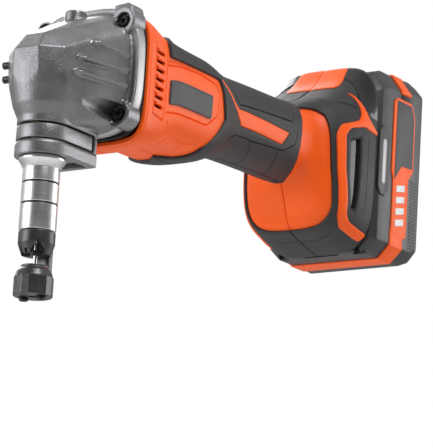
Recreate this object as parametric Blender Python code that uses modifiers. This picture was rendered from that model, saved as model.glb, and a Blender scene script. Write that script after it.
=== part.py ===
"""Cordless nibbler: cast gear head with a downward punch nozzle, straight body and a slide-on battery.

All lengths below are millimetres in the tool's own frame. X runs back along the body and is 0 on the punch
axis, Y is 0 on the split line of the body, Z is up and 0 on the middle of the head. MM turns them into
metres, and SHIFT moves the finished tool so that its box stands on Z = 0, centred on the origin.
"""

import math

import bmesh
import bpy
import numpy as np
from mathutils import Vector
from mathutils.bvhtree import BVHTree

MM = 0.001

# Overall
BODY_REAR = 323.0
TOOL_BOTTOM = -131.0
NOSE_R = 21.0
SHIFT = ((NOSE_R - BODY_REAR) / 2, 0.0, -TOOL_BOTTOM)
GAP = 0.3

# Punch and die line, along Z at X = 0
STROKE = 4.0
BARREL_R = 10.0
BARREL_TOP = -40.0
BARREL_END = -94.3
NECK_BOTTOM = -53.8
NECK_HALF = 14.6
NECK_REAR = 28.0
BAND_TOP = -38.0
BAND_BOTTOM = -46.0
BAND_TRAVEL = 1.5
GUIDE_END = -107.0
DIE_TOP = -112.5
DIE_BOTTOM = -126.3
PUNCH_R = 4.2
PUNCH_NECK_R = 1.1
PUNCH_HEAD_R = 2.2

# Crank drive, along X
MOTOR_Z = 5.0
CRANK_Z = -10.0
CRANK_THROW = STROKE / 2
PINION_TEETH = 8
GEAR_TEETH = 36
PINION_R = 2.7
GEAR_R = 12.0
FLANGE_FRONT = 31.0
FLANGE_REAR = 39.0
FLANGE_HALF_Y = 34.5
FLANGE_HALF_Z = 35.5
FLANGE_MID_Z = 1.5
SCREW_Y = 26.5
SCREW_Z = 26.0

# Body, from the gear plate to the battery seam
BODY_FRONT = 42.2
SEAM_X = 271.0
WALL = 2.2
SKIN_IN = 0.3
SKIN_OUT = 1.8
GRIP_FRONT = 118.0
GRIP_REAR = 226.0
PANEL_X = (142.0, 192.0)
LABEL_X = (67.5, 108.5)

# Battery
PACK_FRONT = 272.0
PACK_SPLIT = 297.0
PACK_HALF_Y = 38.0
PACK_TOP = 68.0
PACK_BOTTOM = -51.0
RELEASE_DEPTH = 3.0

# Body sections: distance along X, top, bottom, half width and squareness of the rounded outline
SECTIONS = np.array(
    [
        (42.0, 37.0, -34.0, 34.5, 6.0),
        (50.0, 37.0, -34.0, 34.5, 6.0),
        (60.0, 35.0, -32.0, 33.0, 4.6),
        (72.0, 31.5, -29.0, 32.0, 3.8),
        (90.0, 30.5, -28.0, 31.5, 3.6),
        (108.0, 30.0, -28.0, 31.0, 3.5),
        (118.0, 29.5, -27.5, 30.0, 3.3),
        (126.0, 28.5, -25.0, 28.0, 3.0),
        (134.0, 28.5, -21.0, 25.5, 2.8),
        (142.0, 29.0, -16.5, 23.2, 2.6),
        (152.0, 29.8, -13.0, 21.8, 2.5),
        (165.0, 30.8, -12.0, 21.0, 2.4),
        (200.0, 31.8, -10.8, 21.0, 2.4),
        (222.0, 33.0, -10.5, 21.4, 2.4),
        (226.0, 34.5, -11.5, 22.2, 2.5),
        (230.0, 37.5, -18.0, 25.0, 2.8),
        (233.0, 40.0, -32.0, 29.0, 3.3),
        (236.0, 42.0, -42.0, 31.0, 4.0),
        (240.0, 45.0, -46.0, 33.0, 4.5),
        (246.0, 48.0, -48.0, 34.6, 5.0),
        (254.0, 52.0, -48.8, 35.4, 5.5),
        (262.0, 57.0, -49.0, 35.8, 6.0),
        (271.0, 65.5, -49.0, 36.0, 6.0),
    ]
)

for thing in list(bpy.data.objects):
    bpy.data.objects.remove(thing, do_unlink=True)

SCENE = bpy.context.scene
TOOL = bpy.data.collections.new("nibbler")
CUTTERS = bpy.data.collections.new("cutters")
SCENE.collection.children.link(TOOL)
SCENE.collection.children.link(CUTTERS)
CUTTERS.hide_render = True

ROOT = bpy.data.objects.new("tool_frame", None)
ROOT.location = [value * MM for value in SHIFT]
TOOL.objects.link(ROOT)


def material(name, colour, metallic, roughness):
    made = bpy.data.materials.new(name)
    made.use_nodes = True
    shader = made.node_tree.nodes["Principled BSDF"]
    shader.inputs["Base Color"].default_value = (*colour, 1.0)
    shader.inputs["Metallic"].default_value = metallic
    shader.inputs["Roughness"].default_value = roughness
    made.diffuse_color = (*colour, 1.0)
    return made


CAST = material("cast_aluminium", (0.30, 0.30, 0.32), 0.8, 0.45)
STEEL = material("polished_steel", (0.70, 0.70, 0.72), 1.0, 0.18)
DARK_STEEL = material("dark_steel", (0.13, 0.13, 0.14), 0.9, 0.4)
BLACK = material("black_oxide", (0.02, 0.02, 0.02), 0.6, 0.4)
ORANGE = material("orange_plastic", (0.95, 0.16, 0.03), 0.0, 0.4)
CHARCOAL = material("charcoal_rubber", (0.06, 0.06, 0.065), 0.0, 0.65)
GREY = material("grey_plastic", (0.10, 0.10, 0.105), 0.0, 0.5)
COPPER = material("copper_winding", (0.60, 0.28, 0.12), 0.9, 0.35)
BRONZE = material("bronze", (0.55, 0.38, 0.16), 1.0, 0.35)
BOARD = material("circuit_board", (0.03, 0.20, 0.08), 0.0, 0.5)
LENS = material("clear_lens", (0.90, 0.90, 0.90), 0.0, 0.2)
SILVER = material("silver_mesh", (0.60, 0.60, 0.62), 0.9, 0.35)


def solid(name, points, faces, look, origin=(0, 0, 0), cutter=False):
    """One closed mesh from points in the tool's frame, with its own origin at the given point."""
    data = bpy.data.meshes.new(name)
    moved = (np.asarray(points, float) - np.asarray(origin, float)) * MM
    data.from_pydata([tuple(p) for p in moved], [], [tuple(f) for f in faces])
    work = bmesh.new()
    work.from_mesh(data)
    bmesh.ops.recalc_face_normals(work, faces=work.faces)
    work.to_mesh(data)
    work.free()
    made = bpy.data.objects.new(name, data)
    made.parent = ROOT
    made.location = [value * MM for value in origin]
    if cutter:
        CUTTERS.objects.link(made)
        made.hide_render = True
        made.display_type = "WIRE"
    else:
        TOOL.objects.link(made)
        data.materials.append(look)
    return made


def lathe(name, profile, at, axis, look, steps=32, cutter=False, origin=None):
    """Turns a profile of (radius, height) pairs round a line through at. Radius 0 closes it on the line."""
    open_ended = profile[0][0] == 0
    points = []
    rings = []
    for radius, height in profile:
        ring = []
        for k in range(1 if radius == 0 else steps):
            turn = 2 * math.pi * k / steps
            across, over = radius * math.cos(turn), radius * math.sin(turn)
            offset = (height, across, over) if axis == "X" else (across, over, height)
            ring.append(len(points))
            points.append([at[i] + offset[i] for i in range(3)])
        rings.append(ring)
    faces = []
    pairs = list(zip(rings, rings[1:]))
    if not open_ended:
        pairs.append((rings[-1], rings[0]))
    for low, high in pairs:
        for k in range(steps):
            after = (k + 1) % steps
            if len(low) == 1:
                faces.append((low[0], high[k], high[after]))
            elif len(high) == 1:
                faces.append((low[k], high[0], low[after]))
            else:
                faces.append((low[k], low[after], high[after], high[k]))
    return solid(name, points, faces, look, origin or at, cutter)


def ring(name, at, axis, outer, inner, start, end, look, steps=32, chamfer=0.3, cutter=False):
    c = chamfer
    profile = [(inner, start), (outer - c, start), (outer, start + c)]
    profile += [(outer, end - c), (outer - c, end), (inner, end)]
    return lathe(name, profile, at, axis, look, steps, cutter)


def rod(name, at, axis, radius, start, end, look, steps=24, chamfer=0.3, cutter=False):
    c = chamfer
    profile = [(0, start), (radius - c, start), (radius, start + c)]
    profile += [(radius, end - c), (radius - c, end), (0, end)]
    return lathe(name, profile, at, axis, look, steps, cutter)


def prism(name, outline, axis, start, end, look, cutter=False, origin=(0, 0, 0)):
    """Extrudes a flat outline. Its pairs are (Y, Z) along X, (X, Z) along Y and (X, Y) along Z."""
    points = []
    for level in (start, end):
        for first, second in outline:
            if axis == "X":
                points.append((level, first, second))
            elif axis == "Y":
                points.append((first, level, second))
            else:
                points.append((first, second, level))
    count = len(outline)
    faces = [tuple(range(count)), tuple(range(count, 2 * count))]
    for k in range(count):
        after = (k + 1) % count
        faces.append((k, after, after + count, k + count))
    return solid(name, points, faces, look, origin, cutter)


def block(name, x, y, z, look, bevel=0.0, cutter=False, origin=None):
    middle = origin or [(x[0] + x[1]) / 2, (y[0] + y[1]) / 2, (z[0] + z[1]) / 2]
    outline = [(x[0], y[0]), (x[1], y[0]), (x[1], y[1]), (x[0], y[1])]
    made = prism(name, outline, "Z", z[0], z[1], look, cutter, middle)
    if bevel:
        edge = made.modifiers.new("edges", "BEVEL")
        edge.width = bevel * MM
        edge.segments = 2
        edge.limit_method = "ANGLE"
    return made


def hull(name, points, look, cutter=False, origin=(0, 0, 0)):
    work = bmesh.new()
    for point in points:
        work.verts.new(point)
    found = bmesh.ops.convex_hull(work, input=work.verts)
    loose = [v for v in found["geom_interior"] if isinstance(v, bmesh.types.BMVert)]
    loose += [v for v in found["geom_unused"] if isinstance(v, bmesh.types.BMVert)]
    bmesh.ops.delete(work, geom=list(set(loose)), context="VERTS")

    work.verts.index_update()
    corners = [tuple(v.co) for v in work.verts]
    faces = [tuple(v.index for v in f.verts) for f in work.faces]
    work.free()
    return solid(name, corners, faces, look, origin, cutter)


def cut(target, *cutters):
    for cutter in cutters:
        step = target.modifiers.new("cut " + cutter.name, "BOOLEAN")
        step.operation = "DIFFERENCE"
        step.solver = "EXACT"
        step.object = cutter


def join(target, *extras):
    for extra in extras:
        step = target.modifiers.new("join " + extra.name, "BOOLEAN")
        step.operation = "UNION"
        step.solver = "EXACT"
        step.object = extra


def circle(radius, middle=(0, 0), steps=32, start=0.0, sweep=360.0):
    """Points round an arc, as pairs; a full circle leaves out its closing point."""
    count = steps if sweep == 360.0 else steps + 1
    turns = [math.radians(start + sweep * k / steps) for k in range(count)]
    return [(middle[0] + radius * math.cos(t), middle[1] + radius * math.sin(t)) for t in turns]


def rounded(half_y, half_z, middle_z, square, steps=40):
    """A rounded-rectangle outline in Y and Z."""
    outline = []
    for k in range(steps):
        turn = 2 * math.pi * k / steps
        cosine, sine = math.cos(turn), math.sin(turn)
        reach = (abs(cosine / half_y) ** square + abs(sine / half_z) ** square) ** (-1 / square)
        outline.append((reach * cosine, middle_z + reach * sine))
    return outline


def on_body(x, turn):
    """The point of the body's outer surface at X and at a polar angle about the section's middle."""
    top, bottom, half, square = [np.interp(x, SECTIONS[:, 0], SECTIONS[:, k]) for k in (1, 2, 3, 4)]
    tall = (top - bottom) / 2
    cosine, sine = math.cos(turn), math.sin(turn)
    reach = (abs(cosine / half) ** square + abs(sine / tall) ** square) ** (-1 / square)
    return np.array([x, reach * cosine, (top + bottom) / 2 + reach * sine])


def off_body(x, turn, lift):
    """A body point lifted along the surface normal."""
    x = min(max(x, 42.0), SEAM_X)
    low, high = max(x - 0.4, 42.0), min(x + 0.4, SEAM_X)
    along = on_body(high, turn) - on_body(low, turn)
    around = on_body(x, turn + 0.02) - on_body(x, turn - 0.02)
    normal = np.cross(around, along)
    if x > SEAM_X - 0.5 or x < 42.5:
        normal[0] = 0.0
    normal /= np.linalg.norm(normal)
    return on_body(x, turn) + normal * lift


def skin(name, xs, turns, outer, inner, side, look, keep=None):
    """A shell patch over a grid of X and angle (degrees from the side, 90 at the top), on one half of the body."""
    keep = keep or (lambda x, turn: True)
    cells = set()
    for i in range(len(xs) - 1):
        for j in range(len(turns) - 1):
            if keep((xs[i] + xs[i + 1]) / 2, (turns[j] + turns[j + 1]) / 2):
                cells.add((i, j))
    index = {}
    points = []

    def corner(i, j, layer):
        key = (i, j, layer)
        if key not in index:
            point = off_body(xs[i], math.radians(turns[j]), outer if layer else inner)
            index[key] = len(points)
            points.append((point[0], side * (point[1] + GAP / 2), point[2]))
        return index[key]

    faces = []
    for i, j in cells:
        around = [(i, j), (i + 1, j), (i + 1, j + 1), (i, j + 1)]
        for trio in ((0, 1, 2), (0, 2, 3)):
            faces.append([corner(*around[k], 1) for k in trio])
            faces.append([corner(*around[k], 0) for k in reversed(trio)])
        beside = [(i, j - 1), (i + 1, j), (i, j + 1), (i - 1, j)]
        for k in range(4):
            if beside[k] not in cells:
                (a, b), (c, d) = around[k], around[(k + 1) % 4]
                faces.append([corner(a, b, 0), corner(c, d, 0), corner(c, d, 1), corner(a, b, 1)])
    return solid(name, points, faces, look)


def spread(low, high, count):
    return [low + (high - low) * k / count for k in range(count + 1)]


# ---------------------------------------------------------------- gear head
def level(radius, z, start=90.0, sweep=180.0, steps=16):
    return [(x, y, z) for x, y in circle(radius, (0, 0), steps, start, sweep)]


def head_points():
    points = level(NOSE_R, 7.0) + level(NOSE_R, -20.0) + level(19.2, -27.3) + level(13.0, -36.7)
    points += level(9.5, 22.8)
    points += [(9.0, -9.5, 24.0), (9.0, 9.5, 24.0)]
    for y, z in rounded(FLANGE_HALF_Y - 1.5, FLANGE_HALF_Z - 1.5, FLANGE_MID_Z, 6.0):
        points.append((FLANGE_REAR - 4.0, y, z))
    return points


GEAR_HOUSING = hull("gear_housing", head_points(), CAST)
FLANGE = prism(
    "add_flange",
    rounded(FLANGE_HALF_Y, FLANGE_HALF_Z, FLANGE_MID_Z, 6.0),
    "X",
    FLANGE_FRONT,
    FLANGE_REAR,
    None,
    cutter=True,
)


def neck_outline(half, rear):
    return circle(half, (0, 0), 20, 90.0, 180.0) + [(rear, -half), (rear, half)]


NECK = prism("add_neck", neck_outline(NECK_HALF, NECK_REAR), "Z", NECK_BOTTOM, -30.0, None, cutter=True)
SKIRT = prism("add_skirt", neck_outline(15.2, NECK_REAR - 0.5), "Z", NECK_BOTTOM - 0.2, -47.5, None, cutter=True)
TOP_BOSS = rod("add_top_boss", (24.0, 0.0, 0.0), "Z", 5.0, 20.0, 36.0, None, 20, 0.8, cutter=True)
HEAD_TREE = BVHTree.FromPolygons(
    [tuple(Vector(v.co) / MM) for v in GEAR_HOUSING.data.vertices],
    [tuple(p.vertices) for p in GEAR_HOUSING.data.polygons],
)


def head_side(x, z, side):
    hit = HEAD_TREE.ray_cast(Vector((x, side * 80.0, z)), Vector((0, -side, 0)))[0]
    return hit[1]


FINS = []
for side in (-1, 1):
    for number, (x_front, z_front, x_back, z_back) in enumerate(
        [(12.0, 13.0, 30.0, 9.5), (8.0, 6.5, 30.0, 2.5), (9.0, 0.0, 30.0, -4.5)]
    ):
        y_front, y_back = head_side(x_front, z_front, side), head_side(x_back, z_back, side)
        fin = []
        for lift, half in ((-1.5, 1.6), (1.3, 0.8)):
            for sign in (-1, 1):
                fin.append((x_front, y_front + side * lift, z_front + sign * half))
                rear_lift = lift if lift < 0 else 0.4
                fin.append((x_back, y_back + side * rear_lift, z_back + sign * half * 0.6))
        FINS.append(hull(f"add_fin_{'left' if side < 0 else 'right'}_{number + 1}", fin, None, cutter=True))

CAVITY_POINTS = level(17.5, 5.0, 0, 360, 18) + level(17.5, -20.0, 0, 360, 18) + level(8.0, 18.5, 0, 360, 18)
CAVITY_POINTS += level(11.3, -33.0, 0, 360, 18)
CAVITY_POINTS += [(40.5, y, FLANGE_MID_Z + z) for y, z in circle(27.0, (0, 0), 24)]
CAVITY = hull("cut_cavity", CAVITY_POINTS, None, cutter=True)
BORE = rod("cut_bore", (0, 0, 0), "Z", BARREL_R - 1 + GAP, -60.0, -30.0, None, 40, 0.0001, cutter=True)
slot_points = [(-30.0, -30.0), (25.5, -30.0), (25.5, -11.2), (12.5, -11.2)]
slot_points += [(x, -y) for x, y in reversed(slot_points)]
BAND_SLOT = prism("cut_band_slot", slot_points, "Z", BAND_BOTTOM - GAP, BAND_TOP + 0.9, None, cutter=True)
UNDER = block("cut_under", (13.0, 25.0), (-10.5, 10.5), (-60.0, -49.5), None, cutter=True)
POCKETS = []
SCREW_HOLES = []
SCREWS = [(-SCREW_Y, SCREW_Z), (SCREW_Y, SCREW_Z), (SCREW_Y, -SCREW_Z), (-SCREW_Y, -SCREW_Z)]
for number, (y, z) in enumerate(SCREWS):
    at = (0.0, y, FLANGE_MID_Z + z)
    POCKETS.append(rod(f"cut_pocket_{number + 1}", at, "X", 4.3, -5.0, 31.5, None, 14, 0.0001, cutter=True))
    SCREW_HOLES.append(rod(f"cut_screw_{number + 1}", at, "X", 1.9, 20.0, 60.0, None, 10, 0.0001, cutter=True))
join(GEAR_HOUSING, FLANGE, NECK, SKIRT, TOP_BOSS, *FINS)
cut(GEAR_HOUSING, CAVITY, BORE, BAND_SLOT, UNDER, *POCKETS, *SCREW_HOLES)

BAND_OUT = circle(NECK_HALF, (0, 0), 20, 90.0, 180.0) + [(23.5, -NECK_HALF), (23.5, -11.6)]
BAND_IN = [(x, y) for x, y in circle(11.6, (0, 0), 20, 270.0, -180.0)]
lock_points = BAND_OUT + BAND_IN + [(23.5, 11.6), (23.5, NECK_HALF)]
prism("lock_yoke", lock_points, "Z", BAND_BOTTOM, BAND_TOP, CAST)
ring("retaining_ring", (0, 0, 0), "Z", 12.2, BARREL_R + GAP, -57.2, -54.3, STEEL, 32, 0.9)

for number, (y, z) in enumerate(SCREWS):
    at = (28.0, y, FLANGE_MID_Z + z)
    screw = [(0, 2.2), (1.3, 2.2), (1.3, 0.0), (2.7, 0.0), (3.1, 0.5), (3.1, 3.2), (1.5, 3.2), (1.5, 20.0), (0, 20.0)]
    lathe(f"head_screw_{number + 1}", screw, at, "X", BLACK, 14)

# ---------------------------------------------------------------- nozzle
barrel = [(4.8, BARREL_END), (9.6, BARREL_END), (BARREL_R, BARREL_END + 0.4)]
for groove in (-79.5, -68.0):
    barrel += [(BARREL_R, groove - 0.5), (9.4, groove - 0.4), (9.4, groove + 0.4), (BARREL_R, groove + 0.5)]
barrel += [(BARREL_R, -54.6), (9.0, -54.3), (9.0, BARREL_TOP), (4.8, BARREL_TOP)]
lathe("nozzle_barrel", barrel, (0, 0, 0), "Z", STEEL, 36)

GUIDE = lathe(
    "punch_guide",
    [(4.5, -94.6), (9.7, -94.6), (9.9, -94.8), (9.9, -101.0), (8.0, GUIDE_END), (1.7, GUIDE_END), (1.7, -104.3), (4.5, -104.3)],
    (0, 0, 0),
    "Z",
    DARK_STEEL,
    30,
)
ARCHES = []
for side in (-1, 1):
    arch = [(-2.8, -120.0), (2.8, -120.0), (2.6, -104.5), (0.6, -101.5), (-0.6, -101.5), (-2.6, -104.5)]
    cutter = prism(f"cut_arch_{'left' if side < 0 else 'right'}", arch, "Y", 2.3, 20.0, None, cutter=True)
    cutter.rotation_euler[2] = math.radians(45.0 if side > 0 else 135.0)
    ARCHES.append(cutter)
FRONT_NICK = rod("cut_front_nick", (0, 0, -106.0), "X", 0.9, -20.0, -3.0, None, 12, 0.0001, cutter=True)
POST_SEAT = block("cut_post_seat", (5.7, 20.0), (-3.3, 3.3), (-115.0, -98.7), None, cutter=True)
cut(GUIDE, *ARCHES, FRONT_NICK, POST_SEAT)
block("die_post", (6.0, 9.6), (-3.0, 3.0), (-119.0, -99.0), STEEL, 0.4, origin=(0, 0, -109.0))

DIE = lathe(
    "die",
    [(2.5, DIE_BOTTOM), (9.8, DIE_BOTTOM), (10.2, DIE_BOTTOM + 0.4), (10.2, -116.5), (6.5, DIE_TOP), (2.5, DIE_TOP)],
    (0, 0, 0),
    "Z",
    DARK_STEEL,
    30,
)
DIE_SEAT = block("cut_die_seat", (5.7, 20.0), (-3.3, 3.3), (-119.3, -100.0), None, cutter=True)
DIE_HOLES = []
for number, side in enumerate((-1, 1)):
    at = (0.0, side * 5.9, 0.0)
    DIE_HOLES.append(rod(f"cut_die_hole_{number + 1}", at, "Z", 1.6, -140.0, -121.0, None, 16, 0.0001, cutter=True))
    socket = [(0, -130.0), (1.2, -130.0), (1.2, TOOL_BOTTOM), (2.2, TOOL_BOTTOM), (2.5, TOOL_BOTTOM + 0.3)]
    socket += [(2.5, -126.7), (1.3, -126.7), (1.3, -121.4), (0, -121.4)]
    lathe(f"die_screw_{number + 1}", socket, at, "Z", BLACK, 14)
cut(DIE, DIE_SEAT, *DIE_HOLES)

punch = [(0, -117.5), (PUNCH_HEAD_R, -117.5), (PUNCH_HEAD_R, -114.3), (PUNCH_NECK_R, -113.3)]
punch += [(PUNCH_NECK_R, -100.0), (PUNCH_R, -98.5), (PUNCH_R, -46.0), (0, -46.0)]
lathe("punch", punch, (0, 0, 0), "Z", STEEL, 24)

YOKE = block("plunger", (-5.0, 5.0), (-8.0, 8.0), (-24.0, 3.0), STEEL, origin=(0, 0, 0))
SHANK = rod("add_shank", (0, 0, 0), "Z", 4.4, -45.7, -20.0, None, 24, 0.2, cutter=True)
YOKE_SLOT = prism("cut_yoke_slot", [(-6.0, -18.2), (6.0, -18.2), (6.0, 0.6), (-6.0, 0.6)], "X", -9.0, 9.0, None, cutter=True)
join(YOKE, SHANK)
cut(YOKE, YOKE_SLOT)
ring("plunger_bush", (0, 0, 0), "Z", 9.0, 4.7, -39.6, -31.0, BRONZE, 24)

# ---------------------------------------------------------------- crank drive
CRANK_AT = (0.0, 0.0, CRANK_Z)
SHAFT = lathe(
    "crank_shaft",
    [(0, 6.2), (6.5, 6.2), (7.0, 6.7), (7.0, 9.5), (5.0, 9.8), (5.0, 37.4), (0, 37.4)],
    CRANK_AT,
    "X",
    STEEL,
    22,
)
PIN = rod("add_pin", (0.0, 0.0, CRANK_Z + CRANK_THROW), "X", 2.0, -4.5, 8.0, None, 16, 0.3, cutter=True)
join(SHAFT, PIN)
ring("pin_roller", (0.0, 0.0, CRANK_Z + CRANK_THROW), "X", 3.2, 2.2, -4.0, 4.0, STEEL, 16, 0.3)
ring("crank_bearing_front", CRANK_AT, "X", 9.5, 5.2, 11.0, 17.0, STEEL, 24, 0.4)
ring("crank_bearing_rear", CRANK_AT, "X", 8.5, 5.2, 32.0, 36.8, STEEL, 24, 0.4)


def gear(name, at, teeth, tip, root_radius, bore, start, end, look, turn=0.0):
    """A toothed wheel on an X line: trapezoid teeth, with a round bore cut through its middle."""
    outline = []
    pitch = 2 * math.pi / teeth
    for k in range(teeth):
        for radius, part in ((root_radius, -0.30), (tip, -0.16), (tip, 0.16), (root_radius, 0.30)):
            angle = (k + part) * pitch + turn
            outline.append((at[1] + radius * math.cos(angle), at[2] + radius * math.sin(angle)))
    made = prism(name, outline, "X", start, end, look, origin=at)
    hole = rod(f"cut_{name}_bore", at, "X", bore, start - 5.0, end + 5.0, None, 24, 0.0001, cutter=True)
    cut(made, hole)
    return made


gear("crank_gear", CRANK_AT, GEAR_TEETH, GEAR_R, 10.8, 5.2, 20.0, 28.0, DARK_STEEL)
MOTOR_AT = (0.0, 0.0, MOTOR_Z)
gear("pinion", MOTOR_AT, PINION_TEETH, PINION_R, 2.0, 1.5, 19.0, 29.0, DARK_STEEL, 0.2)

PLATE = prism("gear_plate", rounded(33.6, 34.6, FLANGE_MID_Z, 6.0), "X", 39.3, 41.9, BLACK)
PLATE_HOLE = rod("cut_plate_hole", MOTOR_AT, "X", 6.3, 30.0, 50.0, None, 28, 0.0001, cutter=True)
BOSSES = []
for number, (y, z) in enumerate(SCREWS):
    at = (0.0, y, FLANGE_MID_Z + z)
    BOSSES.append(rod(f"add_boss_{number + 1}", at, "X", 2.7, 40.0, 50.0, None, 10, 0.2, cutter=True))
join(PLATE, *BOSSES)
cut(PLATE, PLATE_HOLE, *SCREW_HOLES)

# ---------------------------------------------------------------- motor
rod("rotor_shaft", MOTOR_AT, "X", 1.3, 17.0, 104.0, STEEL, 16, 0.2)
ring("motor_bearing_front", MOTOR_AT, "X", 6.0, 1.6, 39.0, 43.5, STEEL, 20, 0.3)
ring("rotor_core", MOTOR_AT, "X", 11.5, 1.6, 58.0, 86.0, DARK_STEEL, 28, 0.4)
ring("motor_bearing_rear", MOTOR_AT, "X", 6.0, 1.6, 97.0, 101.5, STEEL, 20, 0.3)
stator = [(12.2, 54.5), (17.0, 54.5), (17.0, 58.0), (21.5, 58.0), (21.5, 86.0), (17.0, 86.0), (17.0, 89.5), (12.2, 89.5)]
lathe("stator", stator, MOTOR_AT, "X", COPPER, 28)
fan_outline = []
for k in range(9):
    for radius, part in ((6.0, -0.42), (19.5, -0.20), (19.5, -0.04), (6.0, 0.10)):
        angle = 2 * math.pi * (k + part) / 9
        fan_outline.append((radius * math.cos(angle), MOTOR_Z + radius * math.sin(angle)))
FAN = prism("fan", fan_outline, "X", 46.0, 53.0, GREY, origin=MOTOR_AT)
cut(FAN, rod("cut_fan_bore", MOTOR_AT, "X", 1.6, 40.0, 60.0, None, 16, 0.0001, cutter=True))
block("motor_carrier", (102.0, 106.0), (-20.0, 20.0), (-15.0, 20.0), GREY, 1.0)
CARRIER_HOLE = rod("cut_carrier", MOTOR_AT, "X", 2.2, 95.0, 110.0, None, 16, 0.0001, cutter=True)
cut(bpy.data.objects["motor_carrier"], CARRIER_HOLE)

# ---------------------------------------------------------------- body shells and covers
SHELL_X = sorted([BODY_FRONT, PANEL_X[1]] + [float(x) for x in SECTIONS[1:, 0]])
SHELL_TURNS = [-90, -68, -56, -46, -32, -16, 0, 12, 24, 38, 48, 56, 68, 90]
VENT_X = (246.0, 254.0)
VENT_TURNS = (-46, 12)


def vent_window(x, turn):
    return VENT_X[0] < x < VENT_X[1] and VENT_TURNS[0] < turn < VENT_TURNS[1]


SWITCH_WINDOW = block("cut_switch_window", (84.0, 112.0), (-6.3, 6.3), (20.0, 45.0), None, cutter=True)
for side, word in ((-1, "left"), (1, "right")):
    slot_points, slot_faces = [], []
    for k in range(7):
        base = len(slot_points)
        for x in (53.1, 58.3):
            for y in (side * 20.0, side * 50.0):
                for z in (15.33 - 5.0 * k, 17.07 - 5.0 * k):
                    slot_points.append((x, y, z))
        for face in ((0, 1, 3, 2), (4, 6, 7, 5), (0, 4, 5, 1), (2, 3, 7, 6), (0, 2, 6, 4), (1, 5, 7, 3)):
            slot_faces.append([base + corner for corner in face])
    slots = solid(f"cut_slots_{word}", slot_points, slot_faces, None, cutter=True)
    shell = skin(
        f"housing_{word}",
        SHELL_X,
        SHELL_TURNS,
        0.0,
        -WALL,
        side,
        ORANGE,
        lambda x, turn: not vent_window(x, turn),
    )
    cut(shell, SWITCH_WINDOW, slots)

    grip_x = [x for x in SHELL_X if GRIP_FRONT <= x < GRIP_REAR] + [GRIP_REAR - GAP]
    skin(
        f"grip_{word}",
        grip_x,
        SHELL_TURNS,
        SKIN_OUT,
        SKIN_IN,
        side,
        CHARCOAL,
        lambda x, turn: not (PANEL_X[0] < x < PANEL_X[1] and -32 < turn < 0),
    )
    skin(
        f"grip_panel_{word}",
        [PANEL_X[0] + GAP, 152, 165, PANEL_X[1] - GAP],
        [-31.2, -16, -0.8],
        SKIN_OUT - 0.3,
        SKIN_IN,
        side,
        ORANGE,
    )
    skin(
        f"label_plate_{word}",
        [LABEL_X[0], 72, 90, LABEL_X[1]],
        [-21, -7, 7],
        0.9,
        SKIN_IN,
        side,
        GREY,
    )
    cover_x = [226.0, 230, 233, 236, 240, 246, 254, 262, SEAM_X - 0.2]

    def cover_keep(x, turn):
        if vent_window(x, turn):
            return False
        return x > 240 or turn > 24

    skin(f"rear_cover_{word}", cover_x, SHELL_TURNS, SKIN_OUT, SKIN_IN, side, CHARCOAL, cover_keep)

    def frame_keep(x, turn):
        return not (243 < x < 266.5 and -46 < turn < 12)

    skin(
        f"vent_frame_{word}",
        [240.2, 243, 246, 254, 262, 266.5, 269.5],
        [-56, -46, -32, -16, 0, 12, 24],
        3.2,
        SKIN_OUT + 0.3,
        side,
        ORANGE,
        frame_keep,
    )
    skin(
        f"vent_mesh_{word}",
        [VENT_X[0] + GAP, VENT_X[1] - GAP],
        [-45.5, -32, -16, 0, 11.5],
        0.2,
        -0.8,
        side,
        SILVER,
    )

# ---------------------------------------------------------------- switch and electronics
block("switch_button", (89.0, 103.0), (-5.8, 5.8), (28.4, 33.6), CHARCOAL, 0.8)
rod_side = [(92.0, 24.4), (138.0, 24.4), (138.0, 26.0), (101.0, 26.0), (101.0, 28.1), (92.0, 28.1)]
prism("switch_rod", rod_side, "Y", -2.0, 2.0, GREY)
block("switch_module", (146.5, 172.0), (-8.0, 8.0), (8.0, 26.0), BLACK, 0.8)
block("controller_board", (180.0, 222.0), (-13.0, 13.0), (4.0, 7.0), BOARD, 0.3)

# ---------------------------------------------------------------- battery dock
DOCK = block("battery_dock", (262.5, 270.6), (-30.4, 30.4), (-37.0, 44.0), GREY, 0.8)
RAILS = []
for side, word in ((-1, "left"), (1, "right")):
    low, high = sorted((side * 25.0, side * 28.0))
    wide, wider = sorted((side * 23.0, side * 30.0))
    stem = [(269.0, low), (269.0, high), (274.6, high), (274.6, wider), (276.6, wider), (276.6, wide), (274.6, wide), (274.6, low)]
    RAILS.append(prism(f"add_rail_{word}", stem, "Z", -36.0, 40.0, None, cutter=True))
join(DOCK, *RAILS)
block("terminal_block", (271.0, 275.5), (-11.0, 11.0), (-24.0, 4.0), BLACK, 0.5)


# ---------------------------------------------------------------- battery
def pack_shell(name, start, end, look, wall_at_end, wall_at_start):
    """A tub with rounded outline, hollow inside, open where it meets its partner."""
    outer = rounded(PACK_HALF_Y, (PACK_TOP - PACK_BOTTOM) / 2, (PACK_TOP + PACK_BOTTOM) / 2, 7.0)
    inner = rounded(PACK_HALF_Y - 2.2, (PACK_TOP - PACK_BOTTOM) / 2 - 2.2, (PACK_TOP + PACK_BOTTOM) / 2, 7.0)
    made = prism(name, outer, "X", start, end, look)
    low = start + wall_at_start if wall_at_start else start - 5.0
    high = end - wall_at_end if wall_at_end else end + 5.0
    hollow = prism(f"cut_{name}_hollow", inner, "X", low, high, None, cutter=True)
    cut(made, hollow)
    return made


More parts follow.
